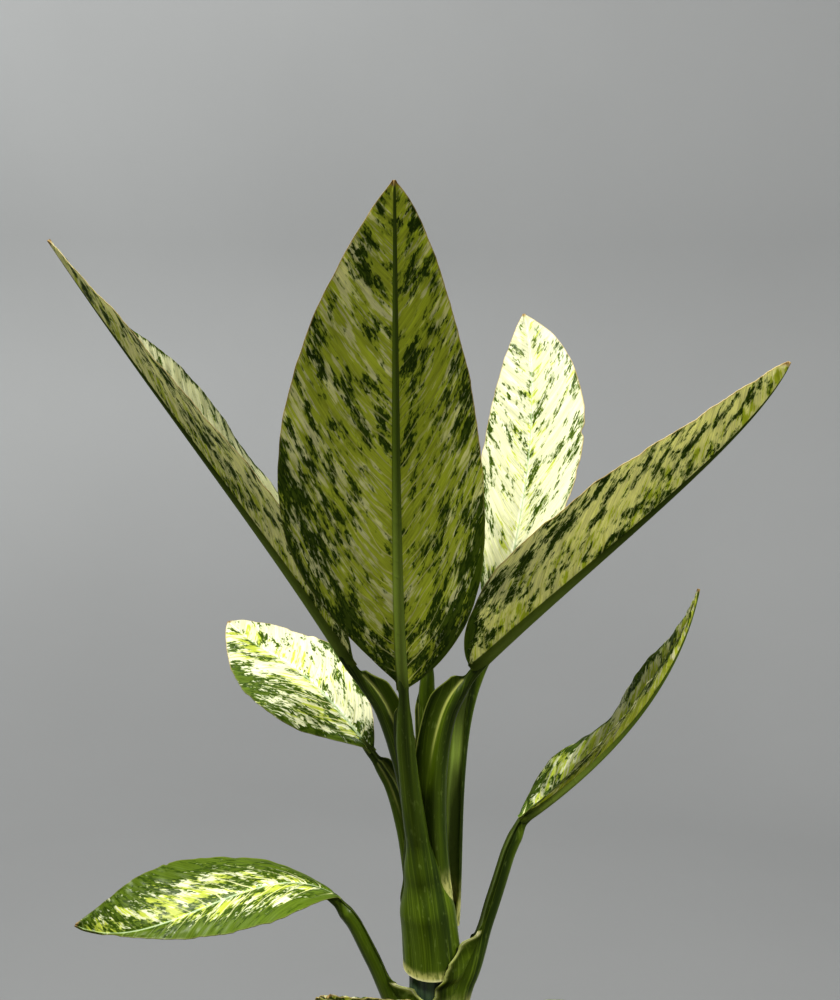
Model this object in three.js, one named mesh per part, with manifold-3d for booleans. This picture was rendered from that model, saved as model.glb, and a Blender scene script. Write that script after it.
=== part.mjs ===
// A dieffenbachia with marbled leaves, growing as one cane in a plain clay pot.
// Millimetres, +Z up. The origin is the middle of the pot's underside, and the pot's axis is the Z axis.
// The front leaf faces -Y. Each leaf is two bodies: its stalk with the sheath that clasps the cane,
// and its blade with the midrib that carries it.
import * as THREE from "three";
import { mergeVertices } from "three/addons/utils/BufferGeometryUtils.js";
import Module from "manifold-3d";

// ---------------------------------------------------------------- driving dimensions
const POT_HEIGHT = 134;
const POT_BASE_RADIUS = 56;
const POT_WALL = 5.5;
const POT_FLOOR = 8;
const POT_BODY_TOP_RADIUS = 76;
const RIM_BAND_HEIGHT = 26;
const RIM_BAND_PROUD = 3.5;
const EDGE_ROUND = 1.6;
const DRAIN_HOLES = 3;
const DRAIN_RADIUS = 5;
const DRAIN_CIRCLE_RADIUS = 32;
const SOIL_TOP = 117;
const SOIL_MOUND = 3;
const SOIL_RINGS = 5;
const CANE_FOOT = 70;
const CANE_TOP = 258;
const CANE_RADIUS = 12.4;
const CANE_TIP_RADIUS = 4.5;
const NODE_RIDGE = 0.9;
const NODE_RIDGE_HEIGHT = 3;
const SCAR_HEIGHTS = [126, 133, 141];
const GAP = 0.3;
const BLADE_THICKNESS = 1.1;
const MARGIN_THICKNESS = 0.7;
const KEEL_DEPTH = 4.6;
const KEEL_TIP_DEPTH = 1.2;
const KEEL_TIP_WIDTH = 0.25;
const FIRST_SECTION = 0.001;
const LAST_SECTION = 0.995;

// ---------------------------------------------------------------- resolution
const ROUND_SIDES = 40;
const CANE_SIDES = 20;
const STALK_SIDES = 12;
const STALK_STEPS = 14;
const BLADE_STEPS = 15;
const ARC_SAMPLES = 200;
const WELD = 1e-4;

// ---------------------------------------------------------------- colours, roughness
const CLAY = new THREE.MeshStandardMaterial({ color: 0xb5694a, roughness: 0.85, metalness: 0 });
const SOIL = new THREE.MeshStandardMaterial({ color: 0x3a2a1f, roughness: 0.95, metalness: 0 });
const CANE = new THREE.MeshStandardMaterial({ color: 0x3f5a36, roughness: 0.55, metalness: 0 });
const STALK = new THREE.MeshStandardMaterial({ color: 0x4a6b22, roughness: 0.4, metalness: 0 });
const BLADE = new THREE.MeshStandardMaterial({ color: 0xc3cf7d, roughness: 0.42, metalness: 0 });

// ---------------------------------------------------------------- the leaves
// stalk and midrib: the four points of a cubic curve. The stalk ends where the midrib begins.
// sections: [place along the stalk, half width, half depth].
// heading: compass angle of the leaf in degrees, 0 along +X and 90 along +Y.
// roll: turn about the midrib at its foot and at its tip. In the pairs below, the half on the leaf's
// left, seen from above with the tip away, comes first. fold: lift of each half at foot and tip.
// shape: [widest place, fullness below it, fullness above it]. cup: rise towards the margin as a share
// of the width. wave: [height, waves along the leaf, start angle] of a margin's ripple.
// sleeve: [foot, top, top radius] of a short sheath round the cane, on leaves with a spreading stalk.
const LEAVES = [
  {
    name: "inner",
    heading: -50,
    stalk: [[0, 0, 264], [-1, 0, 300], [-3, 0, 345]],
    midrib: [[-3.5, -2, 381.5], [-7, 3, 446], [-11, 7, 510], [-15.5, 6, 575]],
    sections: [[0, 3.6, 3.6], [0.4, 4.6, 4], [0.8, 5.2, 3.4], [1, 2.8, 2.6]],
    roll: [0, 0],
    fold: [[50, 48], [50, 48]],
    width: [25, 25],
    shape: [[0.42, 1, 0.8], [0.42, 1, 0.8]],
    cup: [0, 0],
  },
  {
    name: "rear",
    heading: 75,
    stalk: [[9, 5, 240], [12, 7, 290], [7, 26, 340]],
    midrib: [[29.3, 38, 375.6], [51.7, 45.1, 447.4], [60.3, 65.8, 512.9], [52.6, 96, 558.8]],
    sections: [[0, 4.6, 4.6], [0.5, 4.5, 4.2], [0.8, 4.6, 4], [1, 2.8, 2.8]],
    roll: [-45, 0],
    fold: [[15.5, 4], [17, 4]],
    width: [31, 37],
    shape: [[0.47, 1, 0.76], [0.5, 0.97, 0.88]],
    cup: [-0.16, 0],
  },
  {
    name: "upper_left",
    heading: -166,
    stalk: [[-5, -2, 246], [-9, -2, 285], [-12, -7, 345]],
    midrib: [[-39.2, -12, 378.4], [-80.8, -21.7, 446.7], [-128.3, -38.1, 507.4], [-175.9, -50, 581.7]],
    sections: [[0, 4.5, 4.5], [0.3, 4.5, 4.3], [0.6, 4.8, 4.2], [0.85, 5, 3.8], [1, 3.1, 2.9]],
    roll: [0, -15],
    fold: [[25, 24], [25, 25]],
    width: [43, 43],
    shape: [[0.44, 1, 0.55], [0.37, 1, 1]],
    cup: [-0.05, 0],
    wave: [[0, 2, 0], [2.3, 2, -0.7]],
  },
  {
    name: "upper_right",
    heading: -14,
    stalk: [[8, -2, 240], [0, -6, 290], [-4, -9, 345]],
    midrib: [[19.4, -8, 376.1], [74.9, -26.4, 432.9], [147.5, -49.7, 491.2], [159.7, -62, 526]],
    sections: [[0, 5, 4], [0.3, 7, 4.5], [0.55, 7.5, 4.3], [0.75, 7.6, 3.9], [0.9, 5.6, 3.4], [1, 3.1, 2.9]],
    roll: [2, -4],
    fold: [[47, 28.5], [47, 28.5]],
    width: [44, 44],
    shape: [[0.4, 0.5, 0.5], [0.4, 0.67, 0.4]],
    cup: [-0.03, 0],
  },
  {
    name: "mid_left",
    heading: 147,
    stalk: [[-7, 3, 228], [-10, 6, 262], [-13, 19, 303]],
    midrib: [[-31.4, 30, 323.4], [-80, 57, 379.4], [-80.7, 81.5, 353], [-119.8, 112, 379.5]],
    sections: [[0, 5.4, 5.4], [0.3, 5, 4.6], [0.6, 4.5, 4], [0.85, 4.4, 3.4], [1, 2.8, 2.6]],
    roll: [-15, -17],
    fold: [[3.5, 3], [4, 3.5]],
    width: [34, 31],
    shape: [[0.38, 1.45, 0.5], [0.52, 0.87, 0.62]],
    cup: [-0.16, -0.05],
  },
  {
    name: "front",
    heading: -89,
    stalk: [[0, 0, 214], [-1, 0, 262], [-14, -18, 310]],
    midrib: [[-14.6, -36, 371.1], [-18, -60.9, 408], [-17.2, -71.5, 524.6], [-17.4, -95, 600.9]],
    sections: [
      [0, 15.2, 15.2],
      [0.22, 14.2, 13.6],
      [0.35, 10, 9],
      [0.48, 6.1, 5.8],
      [0.8, 4.8, 4.2],
      [1, 2.9, 2.8],
    ],
    roll: [12.5, 19],
    fold: [[15, 10], [14.5, 9.5]],
    width: [47, 53],
    shape: [[0.33, 0.55, 0.38], [0.43, 1.3, 0.7]],
    cup: [0, 0],
  },
  {
    name: "mid_right",
    heading: 4,
    stalk: [[4, 0, 197], [16, -1, 204], [30, 1, 252]],
    midrib: [[44.2, 4, 296], [81, 4.6, 320], [126.7, 16.6, 357.4], [137.2, 16, 412.5]],
    sections: [[0, 8, 8], [0.2, 6.6, 6.2], [0.5, 4.5, 4.2], [0.9, 4, 3.7], [1, 3.4, 3.2]],
    sleeve: [193, 207, 14.2],
    roll: [2, -14],
    fold: [[35, 32], [35, 32]],
    width: [23.5, 24],
    shape: [[0.36, 0.77, 0.4], [0.4, 1, 0.84]],
    cup: [-0.18, -0.15],
    wave: [[4, 2, -0.75], [0, 2, 0]],
  },
  {
    name: "low_left",
    heading: 189,
    stalk: [[-4, -1, 180], [-18, -5, 196], [-34, -9, 240]],
    midrib: [[-46.9, -8, 258.7], [-84.8, -12.7, 290.7], [-134, -30.6, 233.4], [-175, -30, 253.6]],
    sections: [[0, 8, 8], [0.25, 6, 5.6], [0.6, 4.9, 4.5], [0.9, 4.6, 4], [1, 3.6, 3.2]],
    sleeve: [176, 190, 14.2],
    roll: [7, -54],
    fold: [[1, 11.5], [1, 12]],
    width: [32.5, 34.5],
    shape: [[0.28, 1.05, 1], [0.53, 1.2, 0.84]],
    cup: [-0.07, -0.09],
  },
  {
    name: "low_right",
    heading: -31,
    stalk: [[3, -2, 163], [10, -6, 170], [20, -14, 182]],
    midrib: [[28, -19, 195], [44, -28, 220], [76, -50, 208], [106, -70, 182]],
    sections: [[0, 7.5, 7.5], [0.3, 5.6, 5.2], [0.7, 4.6, 4.2], [1, 3.2, 3]],
    sleeve: [159, 172, 14.2],
    roll: [0, 0],
    fold: [[14, 8], [14, 8]],
    width: [30, 30],
    shape: [[0.42, 0.95, 0.8], [0.42, 1, 0.8]],
    cup: [0, 0],
  },
  {
    name: "low_front",
    heading: -121,
    stalk: [[-1, -3, 147], [-5, -12, 156], [-9, -30, 168]],
    midrib: [[-14, -44, 186], [-21, -71, 229], [-32, -100, 246.5], [-44.5, -128, 263]],
    sections: [[0, 7.5, 7.5], [0.3, 5.6, 5.2], [0.7, 4.6, 4.2], [1, 3.2, 3]],
    sleeve: [143, 156, 14.2],
    roll: [13, 13],
    fold: [[10.5, 6.5], [10.5, 6.5]],
    width: [30, 30],
    shape: [[0.42, 1, 0.8], [0.42, 1, 0.8]],
    cup: [0, 0],
  },
];

const wasm = await Module();
wasm.setup();

// ---------------------------------------------------------------- curves and lofts
const vector = (point) => new THREE.Vector3(...point);

const mix = (from, to, share) => from + (to - from) * share;

function cubic(points) {
  const curve = new THREE.CubicBezierCurve3(...points.map(vector));
  curve.arcLengthDivisions = ARC_SAMPLES;
  return curve;
}

// A point of a cubic curve with the leaf's own axes there: along the curve, to the leaf's left, and
// out of its upper face.
function station(curve, share, heading, roll) {
  const angle = THREE.MathUtils.degToRad(heading);
  const along = curve.getTangentAt(share).normalize();
  const left = new THREE.Vector3(-Math.sin(angle), Math.cos(angle), 0);
  left.addScaledVector(along, -left.dot(along)).normalize();
  left.applyAxisAngle(along, THREE.MathUtils.degToRad(roll));
  const up = new THREE.Vector3().crossVectors(along, left);
  return { at: curve.getPointAt(share), along, left, up };
}

const place = (axes, left, up) =>
  axes.at.clone().addScaledVector(axes.left, left).addScaledVector(axes.up, up);

// A closed body through rings of points. Each ring runs counter-clockwise about the direction in
// which the rings follow each other.
function loft(rings) {
  const count = rings[0].length;
  const positions = rings.flat().flatMap((point) => point.toArray());
  const faces = [];
  for (let row = 0; row + 1 < rings.length; row += 1) {
    for (let side = 0; side < count; side += 1) {
      const next = (side + 1) % count;
      const a = row * count + side;
      const b = row * count + next;
      faces.push(a, b, b + count, a, b + count, a + count);
    }
  }
  [0, rings.length - 1].forEach((row) => {
    const middle = new THREE.Vector3();
    rings[row].forEach((point) => middle.addScaledVector(point, 1 / count));
    const centre = positions.length / 3;
    positions.push(...middle.toArray());
    for (let side = 0; side < count; side += 1) {
      const a = row * count + side;
      const b = row * count + ((side + 1) % count);
      faces.push(...(row === 0 ? [centre, b, a] : [centre, a, b]));
    }
  });
  const geometry = new THREE.BufferGeometry();
  geometry.setAttribute("position", new THREE.Float32BufferAttribute(positions, 3));
  geometry.setIndex(faces);
  return geometry;
}

function lathe(profile, sides) {
  const points = profile.map(([radius, height]) => new THREE.Vector2(radius, height));
  return new THREE.LatheGeometry(points, sides).rotateX(Math.PI / 2);
}

// ---------------------------------------------------------------- joining and cutting
function solid(geometry) {
  const bare = geometry.clone();
  bare.deleteAttribute("normal");
  bare.deleteAttribute("uv");
  const merged = mergeVertices(bare, WELD);
  const mesh = new wasm.Mesh({
    numProp: 3,
    vertProperties: merged.attributes.position.array,
    triVerts: new Uint32Array(merged.index.array),
  });
  return new wasm.Manifold(mesh);
}

// The largest piece that a cut leaves, without the crumbs beside it.
function largest(body) {
  return body.decompose().reduce((best, piece) => (piece.volume() > best.volume() ? piece : best));
}

function geometryOf(body) {
  const mesh = body.getMesh();
  const geometry = new THREE.BufferGeometry();
  geometry.setAttribute("position", new THREE.Float32BufferAttribute(mesh.vertProperties, 3));
  geometry.setIndex(new THREE.Uint32BufferAttribute(mesh.triVerts, 1));
  return geometry;
}

const group = new THREE.Group();

function addMesh(name, geometry, material) {
  const mesh = new THREE.Mesh(geometry, material);
  mesh.name = name;
  group.add(mesh);
}

// ---------------------------------------------------------------- cane
// The cane stands in the soil. It has a ridge at each node, and it narrows inside the sheaths.
function caneRadius(height) {
  const bareTop = LEAVES.find((leaf) => leaf.name === "front").stalk[0][2];
  if (height <= bareTop) return CANE_RADIUS;
  return mix(CANE_RADIUS, CANE_TIP_RADIUS, (height - bareTop) / (CANE_TOP - bareTop));
}

function caneProfile(grow) {
  const profile = [[0, CANE_FOOT - grow], [CANE_RADIUS + grow, CANE_FOOT - grow]];
  const stop = LEAVES.find((leaf) => leaf.name === "front").stalk[0][2];
  SCAR_HEIGHTS.forEach((height) => {
    profile.push([CANE_RADIUS + grow, height - NODE_RIDGE_HEIGHT / 2]);
    profile.push([CANE_RADIUS + NODE_RIDGE + grow, height]);
    profile.push([CANE_RADIUS + grow, height + NODE_RIDGE_HEIGHT / 2]);
  });
  profile.push([caneRadius(stop) + grow, stop]);
  profile.push([caneRadius(CANE_TOP) + grow, CANE_TOP + grow]);
  profile.push([0, CANE_TOP + grow]);
  return profile;
}

const cane = lathe(caneProfile(0), CANE_SIDES);
addMesh("cane", cane, CANE);

// ---------------------------------------------------------------- stalks
function sectionAt(sections, share) {
  const last = sections.findIndex(([place]) => place >= share);
  const [toPlace, toWidth, toDepth] = sections[Math.max(last, 1)];
  const [fromPlace, fromWidth, fromDepth] = sections[Math.max(last, 1) - 1];
  const part = THREE.MathUtils.smoothstep(share, fromPlace, toPlace);
  return { width: mix(fromWidth, toWidth, part), depth: mix(fromDepth, toDepth, part) };
}

// An oval sweep, grown by the gap where it is to cut its room out of an outer sheath.
function stalkSweep(leaf, grow) {
  const curve = cubic([...leaf.stalk, leaf.midrib[0]]);
  const rings = [];
  for (let step = 0; step <= STALK_STEPS; step += 1) {
    const share = step / STALK_STEPS;
    const axes = station(curve, share, leaf.heading, 0);
    const { width, depth } = sectionAt(leaf.sections, share);
    const ends = step === 0 ? -grow : step === STALK_STEPS ? grow : 0;
    axes.at.addScaledVector(axes.along, ends);
    const ring = [];
    for (let side = 0; side < STALK_SIDES; side += 1) {
      const turn = (side / STALK_SIDES) * 2 * Math.PI;
      ring.push(place(axes, Math.cos(turn) * (width + grow), Math.sin(turn) * (depth + grow)));
    }
    rings.push(ring);
  }
  return solid(loft(rings));
}

// The clasping foot of a leaf whose stalk spreads at once: a sleeve that hugs the cane.
function sleeve(leaf, grow) {
  const [foot, top, topRadius] = leaf.sleeve;
  const footRadius = CANE_RADIUS + NODE_RIDGE + GAP;
  const profile = [
    [0, foot - grow],
    [footRadius + grow, foot - grow],
    [topRadius + grow, mix(foot, top, 0.5)],
    [topRadius + grow, top + grow],
    [0, top + grow],
  ];
  return solid(lathe(profile, CANE_SIDES));
}

function stalkSolid(leaf, grow) {
  const sweep = stalkSweep(leaf, grow);
  return leaf.sleeve ? sweep.add(sleeve(leaf, grow)) : sweep;
}

// Younger stalks stand inside the sheaths of older ones, so each stalk in turn, from the youngest
// out, has the room of all the younger ones and of the cane cut out of it.
let inside = solid(lathe(caneProfile(GAP), CANE_SIDES));
LEAVES.forEach((leaf) => {
  const stalk = largest(stalkSolid(leaf, 0).subtract(inside));
  addMesh(`stalk_${leaf.name}`, geometryOf(stalk), STALK);
  inside = inside.add(stalkSolid(leaf, GAP));
});

// ---------------------------------------------------------------- blades
// Half width of a blade, as a share of the widest, at a place along its midrib.
function outline(share, [widest, below, above]) {
  const rest = (1 - widest) / widest;
  const swell = Math.log(share / widest) + rest * Math.log((1 - share) / (1 - widest));
  return Math.exp((share < widest ? below : above) * swell);
}

// A point of the upper face: across runs from 1 on the left margin to -1 on the right one.
function bladePoint(leaf, axes, share, across, least) {
  const half = across >= 0 ? 0 : 1;
  const reach = Math.abs(across);
  const fold = THREE.MathUtils.degToRad(mix(...leaf.fold[half], share));
  const width = Math.max(leaf.width[half] * outline(share, leaf.shape[half]), least);
  const [height, waves, start] = leaf.wave ? leaf.wave[half] : [0, 1, 0];
  const ripple = height * Math.sin(2 * Math.PI * waves * share + start) * Math.sin(Math.PI * share);
  const lift = width * reach * (Math.sin(fold) + leaf.cup[half] * reach) + ripple * reach * reach;
  return [Math.sign(across) * width * reach * Math.cos(fold), lift];
}

function bladeSolid(leaf) {
  const curve = cubic(leaf.midrib);
  const [, keelWidth] = leaf.sections[leaf.sections.length - 1];
  const rings = [];
  for (let step = 0; step <= BLADE_STEPS; step += 1) {
    const share = mix(FIRST_SECTION, LAST_SECTION, step / BLADE_STEPS);
    const axes = station(curve, share, leaf.heading, mix(...leaf.roll, share));
    const keel = mix(KEEL_DEPTH, KEEL_TIP_DEPTH, Math.sqrt(share));
    const keelHalf = mix(keelWidth, KEEL_TIP_WIDTH, Math.sqrt(share));
    const upper = [1, 0.5, 0, -0.5, -1].map((across) =>
      bladePoint(leaf, axes, share, across, keelHalf),
    );
    const lower = [
      [upper[4][0], upper[4][1] - MARGIN_THICKNESS],
      [upper[3][0], upper[3][1] - BLADE_THICKNESS],
      [-keelHalf * 0.5, -keel],
      [keelHalf * 0.5, -keel],
      [upper[1][0], upper[1][1] - BLADE_THICKNESS],
      [upper[0][0], upper[0][1] - MARGIN_THICKNESS],
    ];
    rings.push([...upper, ...lower].map(([left, up]) => place(axes, left, up)));
  }
  return geometryOf(largest(solid(loft(rings)).subtract(stalkSolid(leaf, GAP))));
}

LEAVES.forEach((leaf) => addMesh(`blade_${leaf.name}`, bladeSolid(leaf), BLADE));

// ---------------------------------------------------------------- pot and soil
const potRadius = (height) =>
  mix(POT_BASE_RADIUS, POT_BODY_TOP_RADIUS, height / (POT_HEIGHT - RIM_BAND_HEIGHT));

function potProfile() {
  const bandFoot = POT_HEIGHT - RIM_BAND_HEIGHT;
  const bandRadius = potRadius(bandFoot) + RIM_BAND_PROUD;
  const rimRadius = bandRadius + RIM_BAND_PROUD / 2;
  return [
    [0, 0],
    [POT_BASE_RADIUS - EDGE_ROUND, 0],
    [potRadius(EDGE_ROUND), EDGE_ROUND],
    [potRadius(bandFoot), bandFoot],
    [bandRadius - EDGE_ROUND, bandFoot],
    [bandRadius, bandFoot + EDGE_ROUND],
    [rimRadius, POT_HEIGHT - EDGE_ROUND],
    [rimRadius - EDGE_ROUND, POT_HEIGHT],
    [innerRadius(POT_HEIGHT) + EDGE_ROUND, POT_HEIGHT],
    [innerRadius(POT_HEIGHT), POT_HEIGHT - EDGE_ROUND],
    [innerRadius(POT_FLOOR), POT_FLOOR],
    [0, POT_FLOOR],
  ];
}

function innerRadius(height) {
  return potRadius(height) - POT_WALL;
}

function potSolid() {
  let pot = solid(lathe(potProfile(), ROUND_SIDES));
  for (let hole = 0; hole < DRAIN_HOLES; hole += 1) {
    const angle = ((hole + 0.5) / DRAIN_HOLES) * 2 * Math.PI;
    const drill = new THREE.CylinderGeometry(DRAIN_RADIUS, DRAIN_RADIUS, POT_FLOOR * 3, 12);
    drill.rotateX(Math.PI / 2);
    drill.translate(Math.cos(angle) * DRAIN_CIRCLE_RADIUS, Math.sin(angle) * DRAIN_CIRCLE_RADIUS, 0);
    pot = pot.subtract(solid(drill));
  }
  return geometryOf(pot);
}

function soilSolid() {
  const floor = POT_FLOOR + GAP;
  const profile = [[0, floor], [innerRadius(floor) - GAP, floor], [innerRadius(SOIL_TOP) - GAP, SOIL_TOP]];
  for (let ring = SOIL_RINGS - 1; ring >= 0; ring -= 1) {
    const share = ring / SOIL_RINGS;
    profile.push([innerRadius(SOIL_TOP) * share, SOIL_TOP + SOIL_MOUND * (1 - share * share)]);
  }
  const soil = solid(lathe(profile, ROUND_SIDES));
  return geometryOf(soil.subtract(solid(lathe(caneProfile(GAP), CANE_SIDES))));
}

addMesh("pot", potSolid(), CLAY);
addMesh("soil", soilSolid(), SOIL);

export default group;
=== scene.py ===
"""A dieffenbachia with marbled leaves in a clay pot, on a plain grey floor that rises into a wall.

Every leaf is a thick sheet: a grid of stations across it, in rows along it, with an outer and an
inner face. The tables are in millimetres. The origin is the middle of the pot's underside.
"""

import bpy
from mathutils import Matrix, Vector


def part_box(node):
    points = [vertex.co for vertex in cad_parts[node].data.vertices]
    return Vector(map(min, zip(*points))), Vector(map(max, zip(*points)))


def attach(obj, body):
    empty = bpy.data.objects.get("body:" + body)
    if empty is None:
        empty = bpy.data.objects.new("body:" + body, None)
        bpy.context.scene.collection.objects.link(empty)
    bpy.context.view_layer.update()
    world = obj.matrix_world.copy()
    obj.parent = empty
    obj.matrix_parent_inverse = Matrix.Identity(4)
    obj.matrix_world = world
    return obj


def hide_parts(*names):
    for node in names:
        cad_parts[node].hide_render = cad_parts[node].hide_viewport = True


bl_info = {
    "name": "Potted Dieffenbachia",
    "version": (1, 0, 0),
    "blender": (4, 5, 0),
    "location": "3D View > Sidebar > Plant",
    "description": "Builds a dieffenbachia with marbled leaves in a clay pot",
    "category": "Object",
}

import math

import bmesh
import bpy
import numpy as np
from bpy.props import FloatProperty, FloatVectorProperty, IntProperty, PointerProperty

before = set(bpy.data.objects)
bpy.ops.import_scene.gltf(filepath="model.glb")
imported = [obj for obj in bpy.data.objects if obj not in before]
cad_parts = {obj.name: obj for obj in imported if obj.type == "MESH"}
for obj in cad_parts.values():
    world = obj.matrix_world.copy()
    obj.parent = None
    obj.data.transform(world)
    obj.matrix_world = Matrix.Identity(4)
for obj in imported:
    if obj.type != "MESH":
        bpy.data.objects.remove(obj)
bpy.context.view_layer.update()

MM = 0.001
POT_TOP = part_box("pot")[1][2] / MM
CANE_FOOT, CANE_TOP = (corner[2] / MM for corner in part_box("cane"))

# ---------------------------------------------------------------- the plant's dimensions, mm
POT_BASE_RADIUS = 56
POT_BODY_TOP_RADIUS = 76
POT_WALL = 5.5
POT_FLOOR = 8
RIM_BAND_HEIGHT = 26
RIM_BAND_PROUD = 3.5
DRAIN_HOLES = 3
DRAIN_RADIUS = 5
DRAIN_CIRCLE_RADIUS = 32
SOIL_TOP = 117
SOIL_MOUND = 3
CANE_RADIUS = 12.4
GAP = 0.3
SHEATH_FOOT = 214
SHEATH_RADIUS = 15.2
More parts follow.
